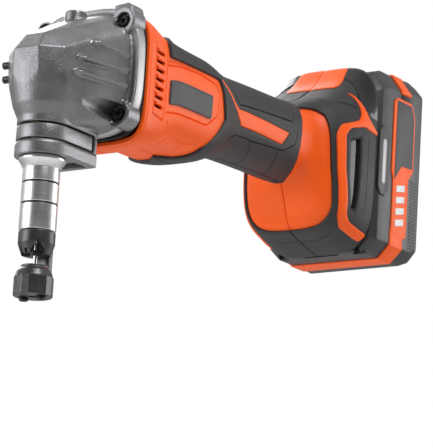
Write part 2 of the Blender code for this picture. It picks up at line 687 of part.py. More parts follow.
BASE = pack_shell("battery_base", PACK_FRONT, PACK_SPLIT, GREY, 0, 8.5)
COVER = pack_shell("battery_cover", PACK_SPLIT + GAP, BODY_REAR, GREY, 2.4, 0)
COVER_EDGE = COVER.modifiers.new("rear edge", "BEVEL")
COVER_EDGE.width = 3.0 * MM
COVER_EDGE.segments = 2
COVER_EDGE.limit_method = "ANGLE"
COVER_EDGE.angle_limit = math.radians(60.0)
COVER.modifiers.move(1, 0)
GROOVES = []
for side, word in ((-1, "left"), (1, "right")):
    low, high = sorted((side * 24.5, side * 28.5))
    wide, wider = sorted((side * 22.5, side * 30.5))
    tee = [(270.0, low), (270.0, high), (274.1, high), (274.1, wider), (277.2, wider), (277.2, wide), (274.1, wide), (274.1, low)]
    GROOVES.append(prism(f"cut_groove_{word}", tee, "Z", -70.0, 41.0, None, cutter=True))
TERMINAL_SLOT = block("cut_terminal_slot", (270.0, 276.2), (-11.8, 11.8), (-70.0, 5.0), None, cutter=True)
RELEASE_SLOT = block("cut_release_slot", (278.0, 292.0), (-11.3, 11.3), (58.0, 80.0), None, cutter=True)
cut(BASE, *GROOVES, TERMINAL_SLOT, RELEASE_SLOT)
block("battery_release", (278.6, 291.4), (-10.7, 10.7), (61.5, 67.6), BLACK, 0.8)
block("cell_pack", (282.0, 319.0), (-33.0, 33.0), (-40.0, 56.0), BOARD, 1.0)
for side, word in ((-1, "left"), (1, "right")):
    near, far = PACK_HALF_Y + GAP, PACK_HALF_Y + 1.3
    y = sorted((side * near, side * far))
    plate = [(299.0, -31.0), (313.0, -31.0), (313.0, 48.0), (308.5, 52.0), (299.0, 52.0)]
    prism(f"battery_label_{word}", plate, "Y", y[0], y[1], ORANGE)
    bezel = [(277.5, -4.0), (280.0, -6.0), (282.5, -4.0), (282.5, 26.0), (280.0, 29.0), (277.5, 26.0)]
    prism(f"light_bar_{word}", bezel, "Y", y[0], y[1], LENS)
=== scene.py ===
import math

import bmesh
import bpy
import numpy as np
from mathutils import Matrix, Vector, geometry
from mathutils.bvhtree import BVHTree


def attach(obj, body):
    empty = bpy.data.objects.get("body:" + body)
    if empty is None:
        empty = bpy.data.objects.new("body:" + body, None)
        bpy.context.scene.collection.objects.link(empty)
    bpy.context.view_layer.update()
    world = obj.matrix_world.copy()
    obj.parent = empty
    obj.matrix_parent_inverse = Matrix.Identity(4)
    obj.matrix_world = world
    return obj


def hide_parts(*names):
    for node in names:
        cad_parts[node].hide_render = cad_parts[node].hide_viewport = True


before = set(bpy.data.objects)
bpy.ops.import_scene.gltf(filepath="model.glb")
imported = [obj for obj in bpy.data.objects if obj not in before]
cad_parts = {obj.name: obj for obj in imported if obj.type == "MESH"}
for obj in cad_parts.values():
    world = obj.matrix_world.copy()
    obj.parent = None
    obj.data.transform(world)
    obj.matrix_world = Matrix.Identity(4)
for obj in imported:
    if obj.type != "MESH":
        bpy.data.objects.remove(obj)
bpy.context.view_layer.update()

# Shapes are in millimetres in the tool's own frame: X back along the body from the punch axis, Y across
# from the split line, Z up from the middle of the head. place() turns them into the frame's metres.
TOOL_ORIGIN = np.array([-151.0, 0.0, 131.0])
MM = 0.001
HALF_GAP = 0.15  # from the split line to each half's edge


def place(points):
    return (np.asarray(points, float) + TOOL_ORIGIN) * MM


def stand(name, data):
    """A new object in the scene that holds this data."""
    made = bpy.data.objects.new(name, data)
    bpy.context.scene.collection.objects.link(made)
    return made


# ---- camera, light and stage
# The camera stands low, off the head's left front corner. The lens and sensor are in millimetres too.
CAMERA_AT = (-1337.3, -1051.5, -485.5)
CAMERA_TURN = math.radians(-55.0)
CAMERA_TILT = math.radians(-13.3)
CAMERA_ROLL = math.radians(3.4)
SENSOR = 36.0
LENS = 265.178571
FAR_CLIP = 20.0

upright = math.cos(CAMERA_TILT)
back = Vector((math.sin(CAMERA_TURN) * upright, -math.cos(CAMERA_TURN) * upright, math.sin(CAMERA_TILT)))
level = Vector((math.cos(CAMERA_TURN), math.sin(CAMERA_TURN), 0.0))
rise = back.cross(level)
right = level * math.cos(CAMERA_ROLL) + rise * math.sin(CAMERA_ROLL)
over = rise * math.cos(CAMERA_ROLL) - level * math.sin(CAMERA_ROLL)
camera = stand("camera", bpy.data.cameras.new("camera"))
camera.data.lens = LENS
camera.data.sensor_width = SENSOR
camera.data.clip_end = FAR_CLIP
camera.matrix_world = Matrix.Translation(Vector(place(CAMERA_AT))) @ Matrix(
    ((right.x, over.x, back.x), (right.y, over.y, back.y), (right.z, over.z, back.z))
).to_4x4()
bpy.context.scene.camera = camera
bpy.context.scene.view_settings.view_transform = "Standard"
bpy.context.scene.view_settings.look = "None"


def area_light(name, at, aim, size, watts):
    """A white square light at a place in metres, turned towards aim."""
    data = bpy.data.lights.new(name, "AREA")
    data.size = size
    data.energy = watts
    lamp = stand(name, data)
    lamp.location = at
    lamp.rotation_euler = (Vector(aim) - Vector(at)).to_track_quat("-Z", "Y").to_euler()


area_light("key", (-0.6, -0.9, 1.3), (0, 0, 0.1), 0.45, 17)
area_light("side", (1.2, -1.0, 0.3), (0.0, 0, 0.12), 0.8, 7)
area_light("front", (-1.2, 0.85, 0.25), (-0.1, 0, 0.1), 0.9, 11)
area_light("rim", (0.6, 1.0, 0.9), (0, 0, 0.15), 0.8, 8)


def remap(nodes, *values):
    """A node that maps one range onto another: from low, from high, to low, to high."""
    made = nodes.new("ShaderNodeMapRange")
    for socket, value in zip(("From Min", "From Max", "To Min", "To Max"), values):
        made.inputs[socket].default_value = value
    return made


# The studio: its brightness depends on the angle from the photograph's camera direction, which stays
# fixed in other views, times a fade below the horizon. What is seen directly is plain white.
SKY_STOPS = ((0.0, 0.45), (0.30, 0.95), (0.54, 0.58), (0.70, 0.22), (1.0, 0.12))
SKY_GAIN = 0.8
SKY_FADE = (-0.5, 0.3, 0.22)  # from this height, to this height, and the share left at the bottom
world = bpy.data.worlds.new("studio")
world.use_nodes = True
bpy.context.scene.world = world
sky = world.node_tree.nodes
sky_shader = sky["Background"]
sky_coord = sky.new("ShaderNodeTexCoord")
sky_turn = sky.new("ShaderNodeVectorMath")
sky_turn.operation = "DOT_PRODUCT"
sky_turn.inputs[1].default_value = back
sky_ramp = sky.new("ShaderNodeValToRGB")
while len(sky_ramp.color_ramp.elements) < len(SKY_STOPS):
    sky_ramp.color_ramp.elements.new(0.5)
for stop, (position, level_here) in zip(sky_ramp.color_ramp.elements, SKY_STOPS):
    stop.position = position
    stop.color = (*[level_here * SKY_GAIN] * 3, 1)
sky_range = remap(sky, -1.0, 1.0)
sky_path = sky.new("ShaderNodeLightPath")
sky_mix = sky.new("ShaderNodeMix")
sky_mix.data_type = "FLOAT"
sky_mix.inputs[3].default_value = 1.0
sky_split = sky.new("ShaderNodeSeparateXYZ")
sky_height = remap(sky, *SKY_FADE)
sky_product = sky.new("ShaderNodeMath")
sky_product.operation = "MULTIPLY"
sky_shader.inputs["Color"].default_value = (1, 1, 1, 1)
for source, target in (
    (sky_coord.outputs["Generated"], sky_turn.inputs[0]),
    (sky_turn.outputs["Value"], sky_range.inputs["Value"]),
    (sky_range.outputs[0], sky_ramp.inputs[0]),
    (sky_coord.outputs["Generated"], sky_split.inputs[0]),
    (sky_split.outputs["Z"], sky_height.inputs["Value"]),
    (sky_ramp.outputs[0], sky_product.inputs[0]),
    (sky_height.outputs[0], sky_product.inputs[1]),
    (sky_product.outputs[0], sky_mix.inputs[2]),
    (sky_path.outputs["Is Camera Ray"], sky_mix.inputs[0]),
    (sky_mix.outputs[0], sky_shader.inputs["Strength"]),
):
    world.node_tree.links.new(source, target)


# ---- materials
TONE_SPAN = (0.36, 0.64)  # the part of the noise's range that the tone runs over
ROUGH_SPAN = (0.3, 0.7)
LEAST_ROUGH = 0.03


def surface(name, colour, metallic, roughness, tone, tone_scale, grain, bump, depth,
            rough_spread=0.08, stretch=(1, 1, 1), specular=0.5):
    """A procedural finish: base colour that drifts, roughness that varies and a fine surface grain."""
    made = bpy.data.materials.new(name)
    made.use_nodes = True
    nodes, links = made.node_tree.nodes, made.node_tree.links
    shader = nodes["Principled BSDF"]
    shader.inputs["Metallic"].default_value = metallic
    shader.inputs["Specular IOR Level"].default_value = specular
    coord = nodes.new("ShaderNodeTexCoord")
    mapping = nodes.new("ShaderNodeMapping")
    mapping.inputs["Scale"].default_value = stretch
    links.new(coord.outputs["Object"], mapping.inputs["Vector"])

    def noise(scale, detail):
        made_noise = nodes.new("ShaderNodeTexNoise")
        made_noise.inputs["Scale"].default_value = scale
        made_noise.inputs["Detail"].default_value = detail
        links.new(mapping.outputs[0], made_noise.inputs["Vector"])
        return made_noise.outputs["Fac"]

    broad, fine = noise(tone_scale, 3.0), noise(grain, 2.0)
    both = nodes.new("ShaderNodeMath")
    both.operation = "ADD"
    half = nodes.new("ShaderNodeMath")
    half.operation = "MULTIPLY"
    half.inputs[1].default_value = 0.5
    links.new(broad, both.inputs[0])
    links.new(fine, both.inputs[1])
    links.new(both.outputs[0], half.inputs[0])
    ramp = nodes.new("ShaderNodeValToRGB")
    for stop, position, change in zip(ramp.color_ramp.elements, TONE_SPAN, (-tone, tone)):
        stop.position = position
        stop.color = (*[min(1.0, c * (1 + change)) for c in colour], 1)
    links.new(half.outputs[0], ramp.inputs[0])
    links.new(ramp.outputs[0], shader.inputs["Base Color"])
    smoothest = max(LEAST_ROUGH, roughness - rough_spread)
    spread = remap(nodes, *ROUGH_SPAN, smoothest, roughness + rough_spread)
    links.new(broad, spread.inputs["Value"])
    links.new(spread.outputs[0], shader.inputs["Roughness"])
    relief = nodes.new("ShaderNodeBump")
    relief.inputs["Strength"].default_value = bump
    relief.inputs["Distance"].default_value = depth
    links.new(fine, relief.inputs["Height"])
    links.new(relief.outputs[0], shader.inputs["Normal"])
    return made


# colour, metallic, roughness, tone drift and its scale, grain scale, bump strength and depth in metres,
# then the roughness spread, the stretch of the pattern and the specular level where they differ
FINISHES = {
    "cast_aluminium": ((0.235, 0.235, 0.245), 0.85, 0.38, 0.16, 60, 1300, 0.5, 0.0004),
    # painted highlight: a lighter copy of the cast aluminium, for the head's flange rim
    "painted_highlight_aluminium": ((0.42, 0.42, 0.43), 0.8, 0.42, 0.10, 60, 1500, 0.25, 0.0002),
    "polished_steel": ((0.74, 0.74, 0.75), 1.0, 0.31, 0.05, 30, 60, 0.10, 0.0001, 0.04, (1, 1, 60)),
    "dark_steel": ((0.075, 0.076, 0.08), 0.7, 0.34, 0.18, 120, 2200, 0.3, 0.0002),
    "black_oxide": ((0.012, 0.012, 0.013), 0.4, 0.34, 0.2, 200, 2500, 0.25, 0.0001),
    "orange_plastic": ((0.95, 0.112, 0.008), 0.0, 0.42, 0.05, 25, 2600, 0.16, 0.0001, 0.06, (1, 1, 1), 0.25),
    "charcoal_rubber": ((0.027, 0.027, 0.029), 0.0, 0.55, 0.14, 35, 3000, 0.35, 0.0002, 0.06, (1, 1, 1), 0.4),
    "grey_plastic": ((0.036, 0.036, 0.039), 0.0, 0.40, 0.10, 40, 2600, 0.22, 0.00015, 0.06, (1, 1, 1), 0.45),
    "copper_winding": ((0.55, 0.22, 0.08), 0.9, 0.35, 0.25, 90, 900, 0.5, 0.0004, 0.08, (6, 1, 1)),
    "bronze": ((0.50, 0.33, 0.14), 1.0, 0.32, 0.12, 80, 1600, 0.2, 0.0002),
    "circuit_board": ((0.02, 0.16, 0.06), 0.0, 0.45, 0.3, 300, 1200, 0.3, 0.0002),
    "clear_lens": ((0.46, 0.46, 0.47), 0.0, 0.22, 0.05, 90, 1800, 0.1, 0.0001, 0.04),
    "silver_mesh": ((0.24, 0.24, 0.245), 0.5, 0.5, 0.10, 300, 2500, 0.2, 0.0001),
    # painted shade: matte near-black for the vents' insides and the gap behind the head's flange
    "painted_shade_black": ((0.006, 0.006, 0.006), 0.0, 0.7, 0.3, 60, 1800, 0.2, 0.0001),
    "gloss_black": ((0.012, 0.012, 0.013), 0.0, 0.14, 0.2, 60, 1800, 0.08, 0.0001, 0.04),
    "label_grey": ((0.040, 0.040, 0.043), 0.0, 0.52, 0.06, 50, 3000, 0.08, 0.0001, 0.04),
    "pale_paint": ((0.70, 0.70, 0.71), 0.0, 0.35, 0.03, 80, 2500, 0.08, 0.0001, 0.04),
    "floor": ((0.86, 0.86, 0.86), 0.0, 0.6, 0.02, 3, 120, 0.1, 0.0005),
}
LOOKS = {name: surface(name, *values) for name, values in FINISHES.items()}


# ---- mesh helpers
def closed_mesh(name, points, faces):
    """A mesh from points in the tool's frame, with its faces turned outwards."""
    data = bpy.data.meshes.new(name)
    data.from_pydata([tuple(p) for p in place(points)], [], [tuple(int(i) for i in f) for f in faces])
    work = bmesh.new()
    work.from_mesh(data)
    bmesh.ops.recalc_face_normals(work, faces=work.faces)
    work.to_mesh(data)
    work.free()
    return data


def piece(name, points, faces, look, body, replaces=(), slot=None, sharp=32.0):
    """One mesh from points in the tool's frame, riding on a body."""
    return finish_piece(stand(name, closed_mesh(name, points, faces)), look, body, replaces, slot, sharp)


def finish_piece(made, look, body, replaces=(), slot=None, sharp=32.0):
    """Gives a mesh its material, its shading and its body. sharp is the angle where shading breaks."""
    made.data.materials.clear()
    made.data.materials.append(LOOKS[look])
    made.data.polygons.foreach_set("use_smooth", [True] * len(made.data.polygons))
    made.data.set_sharp_from_angle(angle=math.radians(sharp))
    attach(made, body)
    if replaces:
        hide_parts(*replaces)
    slot or look
    return made


def arc(radius, middle, start, sweep, steps):
    """Points along an arc, from an angle in degrees through a sweep."""
    turns = [math.radians(start + sweep * k / steps) for k in range(steps + 1)]
    return [(middle[0] + radius * math.cos(t), middle[1] + radius * math.sin(t)) for t in turns]


def lathe(name, profile, at, axis, look, body, steps=96, **tags):
    """Turns (radius, height) pairs round a line. A profile that starts at radius 0 is solid, others are rings."""
    points, rings, faces = [], [], []
    for radius, height in profile:
        ring = []
        for k in range(1 if radius == 0 else steps):
            turn = 2 * math.pi * k / steps
            across, upward = radius * math.cos(turn), radius * math.sin(turn)
            offset = (height, across, upward) if axis == "X" else (across, upward, height)
            ring.append(len(points))
            points.append([at[i] + offset[i] for i in range(3)])
        rings.append(ring)
    pairs = list(zip(rings, rings[1:]))
    if profile[0][0] != 0:
        pairs.append((rings[-1], rings[0]))
    for low, high in pairs:
        for k in range(steps):
            after = (k + 1) % steps
            if len(low) == 1:
                faces.append((low[0], high[k], high[after]))
            elif len(high) == 1:
                faces.append((low[k], high[0], low[after]))
            else:
                faces.append((low[k], low[after], high[after], high[k]))
    return piece(name, points, faces, look, body, **tags)


def resample(loop, step, closed=True):
    """Points every step or closer along a polyline, keeping its corners."""
    out = []
    count = len(loop) if closed else len(loop) - 1
    for k in range(count):
        a, b = np.array(loop[k], float), np.array(loop[(k + 1) % len(loop)], float)
        parts = max(1, int(math.ceil(np.linalg.norm(b - a) / step)))
        for j in range(parts):
            out.append(a + (b - a) * j / parts)
    if not closed:
        out.append(np.array(loop[-1], float))
    return np.array(out)


def distance(points, line, closed=True):
    """Distance of each point from a polyline."""
    ends = np.roll(line, -1, axis=0) if closed else line[1:]
    starts = line if closed else line[:-1]
    best = np.full(len(points), 1e9)
    for a, b in zip(starts, ends):
        along = b - a
        size = max(float(along @ along), 1e-12)
        t = np.clip(((points - a) @ along) / size, 0, 1)
        best = np.minimum(best, np.linalg.norm(points - a - t[:, None] * along, axis=1))
    return best


def inside(points, loop):
    """Even-odd test of points against a closed loop."""
    found = np.zeros(len(points), bool)
    x, y = points[:, 0], points[:, 1]
    for k in range(len(loop)):
        (x0, y0), (x1, y1) = loop[k], loop[(k + 1) % len(loop)]
        if y0 == y1:
            continue
        crosses = ((y0 > y) != (y1 > y)) & (x < (x1 - x0) * (y - y0) / (y1 - y0) + x0)
        found ^= crosses
    return found


def fillet(points, radius, steps=4):
    """Rounds each corner of an outline by an arc-like curve of about this radius."""
    out = []
    count = len(points)
    for k in range(count):
        a, b, c = [np.array(points[(k + d) % count], float) for d in (-1, 0, 1)]
        reach = min(radius, np.linalg.norm(a - b) * 0.45, np.linalg.norm(c - b) * 0.45)
        start = b + (a - b) / max(np.linalg.norm(a - b), 1e-9) * reach
        end = b + (c - b) / max(np.linalg.norm(c - b), 1e-9) * reach
        for j in range(steps + 1):
            t = j / steps
            out.append(start * (1 - t) ** 2 + b * 2 * t * (1 - t) + end * t * t)
    return np.array(out)


GROOVE_STEP = 0.9
ROW_RATIO = 0.87  # between the rows of a triangular grid, for points 1 apart


def beside(line):
    """The unit direction across a polyline at each of its points, from the steps along it."""
    across = np.stack([-line[:, 1], line[:, 0]], axis=1)
    return across / np.maximum(np.linalg.norm(across, axis=1), 1e-9)[:, None]


def patch(name, surf, outer, look, holes=(), grooves=(), step=1.6, top=0.0, bottom=-2.0, edge=0.4, **tags):
    """A curved plate on the tool's body: an outline, holes, V grooves, a rounded rim and real thickness."""
    loops = [resample(outer, step * 0.7)] + [resample(h, step * 0.6) for h in holes]
    low, high = loops[0].min(axis=0), loops[0].max(axis=0)
    nx, ny = int((high[0] - low[0]) / step) + 2, int((high[1] - low[1]) / (step * ROW_RATIO)) + 2
    gx, gy = np.meshgrid(np.arange(nx), np.arange(ny))
    grid = np.stack([low[0] + (gx + (gy % 2) * 0.5) * step, low[1] + gy * step * ROW_RATIO], axis=-1).reshape(-1, 2)

    def clear(points):
        ok = inside(points, loops[0])
        for hole in loops[1:]:
            ok &= ~inside(points, hole)
        return ok

    def from_rim(points):
        return np.min([distance(points, loop) for loop in loops], axis=0)

    marks = [(resample(line, GROOVE_STEP, False), width, depth) for line, width, depth in grooves]
    grid = grid[clear(grid)]
    grid = grid[from_rim(grid) > max(edge * 1.25, step * 0.4)]
    extra = []

    def keep_inside(ring, margin):
        ring = ring[clear(ring)]
        if len(ring):
            extra.append(ring[from_rim(ring) > margin])

    for loop in loops:
        across = beside(np.roll(loop, -1, axis=0) - np.roll(loop, 1, axis=0))
        for share in (0.3, 1.0):
            for sign in (-1, 1):
                keep_inside(loop + across * edge * share * sign, edge * share * 0.85)
    for line, width, _ in marks:
        grid = grid[distance(grid, line, False) > width * 1.2]
        across = beside(np.gradient(line, axis=0))
        for shift in (-1.0, 0.0, 1.0):
            keep_inside(line + across * width * shift, edge * 0.6)
    flat = np.vstack([*loops, *extra, grid])
    edges, start = [], 0
    for loop in loops:
        edges += [(start + k, start + (k + 1) % len(loop)) for k in range(len(loop))]
        start += len(loop)
    verts, _, tris, _, _, _ = geometry.delaunay_2d_cdt([Vector(p) for p in flat], edges, [], 0, 1e-4)
    flat = np.array([tuple(v) for v in verts])
    tris = np.array([tuple(t) for t in tris])
    middles = flat[tris].mean(axis=1)
    tris = tris[clear(middles)]
    used = np.unique(tris)
    renumber = np.full(len(flat), -1)
    renumber[used] = np.arange(len(used))
    flat, tris = flat[used], renumber[tris]
    rim = from_rim(flat)
    share = np.clip(rim / max(edge, 1e-6), 0, 1)
    lift = top - edge * (1 - np.sqrt(np.maximum(0, 1 - (1 - share) ** 2)))
    for line, width, depth in marks:
        away = distance(flat, line, False)
        lift = lift - depth * np.clip(1 - away / width, 0, 1)
    upper = surf(flat[:, 0], flat[:, 1], lift)
    lower = surf(flat[:, 0], flat[:, 1], np.full(len(flat), bottom))
    count = len(flat)
    sides = np.concatenate([tris[:, [0, 1]], tris[:, [1, 2]], tris[:, [2, 0]]])
    keys = {(int(a), int(b)) for a, b in sides}
    faces = [tuple(t) for t in tris] + [(t[2] + count, t[1] + count, t[0] + count) for t in tris]
    for a, b in keys:
        if (b, a) not in keys:
            faces.append((b, a, a + count, b + count))
    return piece(name, np.vstack([upper, lower]), faces, look, "tool_body", **tags)


class Tube:
    """A rounded body given by sections along X: (x, top, bottom, half width, squareness)."""

    STEP = 0.25
    PER_DEGREE = 0.5  # flat units per degree round the body
    NEAR_X, NEAR_TURN = 0.4, 0.01  # how far to each side a normal is read, in mm and in radians
    END = 0.3  # closer to an end than this, a normal has no part along X

    def __init__(self, rows):
        rows = np.array(rows, float)
        self.xs = np.arange(rows[0, 0], rows[-1, 0] + 0.01, self.STEP)
        self.table = np.stack([self.monotone(rows[:, 0], rows[:, k]) for k in range(1, 5)], axis=1)
        slope = np.abs(np.gradient(self.table[:, :3], self.STEP, axis=0)).max(axis=1)
        pace = np.sqrt(1 + slope**2)
        self.us = self.xs[0] + np.concatenate([[0], np.cumsum((pace[1:] + pace[:-1]) / 2 * self.STEP)])

    def monotone(self, x, y):
        """Cubic interpolation that doesn't overshoot."""
        step, rise_by = np.diff(x), np.diff(y)
        slope = rise_by / step
        tangent = np.concatenate([[slope[0]], np.zeros(len(x) - 2), [slope[-1]]])
        for k in range(1, len(x) - 1):
            if slope[k - 1] * slope[k] > 0:
                tangent[k] = 2 / (1 / slope[k - 1] + 1 / slope[k])
        k = np.clip(np.searchsorted(x, self.xs, side="right") - 1, 0, len(step) - 1)
        t = (self.xs - x[k]) / step[k]
        h00, h10 = 2 * t**3 - 3 * t**2 + 1, t**3 - 2 * t**2 + t
        h01, h11 = -2 * t**3 + 3 * t**2, t**3 - t**2
        return h00 * y[k] + h10 * step[k] * tangent[k] + h01 * y[k + 1] + h11 * step[k] * tangent[k + 1]

    def flat(self, pairs):
        """(x, angle in degrees) pairs as flat (u, v) pairs, about a millimetre per unit."""
        return np.array([(np.interp(x, self.xs, self.us), angle * self.PER_DEGREE) for x, angle in pairs])

    def on(self, x, angle):
        """Points of the left half's surface, mirrored to +Y, before the split gap."""
        top, bottom, half, square = [np.interp(x, self.xs, self.table[:, k]) for k in range(4)]
        tall = (top - bottom) / 2
        cosine, sine = np.cos(angle), np.sin(angle)
        reach = (np.abs(cosine / half) ** square + np.abs(sine / tall) ** square) ** (-1 / square)
        return np.stack([x, reach * cosine, (top + bottom) / 2 + reach * sine], axis=-1)

    def surf(self, side):
        """A function from flat (u, v) and a lift off the surface to points on one side of the tool."""
        first, last = self.xs[0], self.xs[-1]

        def at(u, v, lift):
            x = np.interp(u, self.us, self.xs)
            angle = np.radians(v / self.PER_DEGREE)
            ahead, behind = np.minimum(x + self.NEAR_X, last), np.maximum(x - self.NEAR_X, first)
            along = self.on(ahead, angle) - self.on(behind, angle)
            around = self.on(x, angle + self.NEAR_TURN) - self.on(x, angle - self.NEAR_TURN)
            normal = np.cross(around, along)
            normal[(x < first + self.END) | (x > last - self.END), 0] = 0
            normal /= np.linalg.norm(normal, axis=1)[:, None]
            points = self.on(x, angle) + normal * lift[:, None]
            points[:, 1] = side * (points[:, 1] + HALF_GAP)
            return points

        return at


SIDES = ((-1, "left"), (1, "right"))
BODY = Tube([
    (42.0, 35.4, -37.4, 34.5, 5.2),
    (46.0, 35.4, -38.0, 34.5, 5.2),
    (52.0, 35.0, -38.0, 34.0, 4.8),
    (60.0, 33.6, -36.2, 33.0, 4.3),
    (68.0, 31.6, -32.6, 32.3, 4.1),
    (76.0, 29.8, -28.4, 32.0, 3.8),
    (90.0, 29.2, -27.4, 31.5, 3.6),
    (108.0, 28.8, -27.4, 31.0, 3.5),
    (116.0, 28.4, -26.6, 30.2, 3.3),
    (126.0, 27.8, -24.0, 28.0, 3.0),
    (134.0, 28.0, -20.4, 25.5, 2.8),
    (142.0, 28.5, -16.5, 23.2, 2.6),
    (152.0, 29.3, -13.6, 21.8, 2.5),
    (165.0, 30.2, -12.2, 21.0, 2.4),
    (200.0, 31.2, -11.0, 21.0, 2.4),
    (220.0, 32.6, -10.8, 21.4, 2.4),
    (226.0, 33.2, -12.0, 22.2, 2.5),
    (230.0, 34.6, -17.0, 24.6, 2.8),
    (233.0, 36.2, -25.0, 27.4, 3.1),
    (236.0, 37.6, -33.0, 29.6, 3.5),
    (240.0, 39.6, -37.4, 31.6, 3.8),
    (246.0, 42.8, -39.8, 33.8, 3.8),
    (254.0, 48.6, -42.0, 35.2, 3.9),
    (262.0, 55.2, -44.2, 35.9, 4.1),
    (271.0, 66.0, -46.2, 36.0, 4.5),
])


def angle_for(x, value, axis):
    """The angle in degrees where the body at x reaches this height (axis 2) or distance across (axis 1)."""
    low, high = (-90.0, 90.0) if axis == 2 else (89.99, 20.0)
    for _ in range(40):
        middle = (low + high) / 2
        if BODY.on(np.array([x]), np.radians(np.array([middle])))[0, axis] < value:
            low = middle
        else:
            high = middle
    return (low + high) / 2


def by_height(pairs):
    """(x, height) pairs on the body as flat (u, v) pairs."""
    return BODY.flat([(x, angle_for(x, z, 2)) for x, z in pairs])


# ---- body shells, grips and covers
# Outlines on the side of the body, as (x, height) pairs. SLOT's heights are from each slot's own line.
SLOT_TOP, SLOT_PITCH, SLOT_COUNT = 15.8, 5.0, 7
SLOT = [(50.6, 1.9), (52.4, 1.9), (52.4, 0.9), (59.8, 0.9), (59.8, -1.1), (50.6, -1.1)]
SLOTS = [[(x, SLOT_TOP - SLOT_PITCH * k + z) for x, z in SLOT] for k in range(SLOT_COUNT)]
VENT = [(246.4, 15.1), (255.6, 18.2), (255.9, 4.5), (255.2, -26.1), (251.2, -26.3), (247.3, -9.7)]
SWITCH_HALF = 6.3
FRAME_LINE = [
    (62.0, 10.8), (96.0, 15.0), (113.0, 13.4), (116.8, 10.2), (115.8, -4.2), (105.0, -12.2), (64.3, -15.3),
]
PLATE = [(66.2, 3.6), (108.6, 5.7), (108.2, -7.8), (65.8, -10.3)]
GRIP_EDGE = [
    (64.4, 22.8), (64.6, 16.0), (76.0, 16.6), (110.3, 17.2), (117.5, 17.4), (121.2, 11.5), (125.7, -3.4),
    (115.6, -16.4), (109.0, -23.6),
]
RIM = [
    (237.0, 16.0), (238.4, -5.8), (240.6, -20.0), (243.6, -30.6), (249.6, -36.0), (268.5, -40.6),
    (270.8, -36.6), (253.6, -32.4), (248.8, -28.4), (246.0, -17.0), (243.9, -4.5), (243.2, 17.0),
    (246.6, 21.6), (258.8, 25.0), (270.6, 22.8), (270.8, 24.8), (262.5, 31.2), (257.4, 40.0),
    (253.6, 45.0), (255.6, 39.0), (256.4, 32.6), (254.0, 28.0), (240.2, 22.6),
]

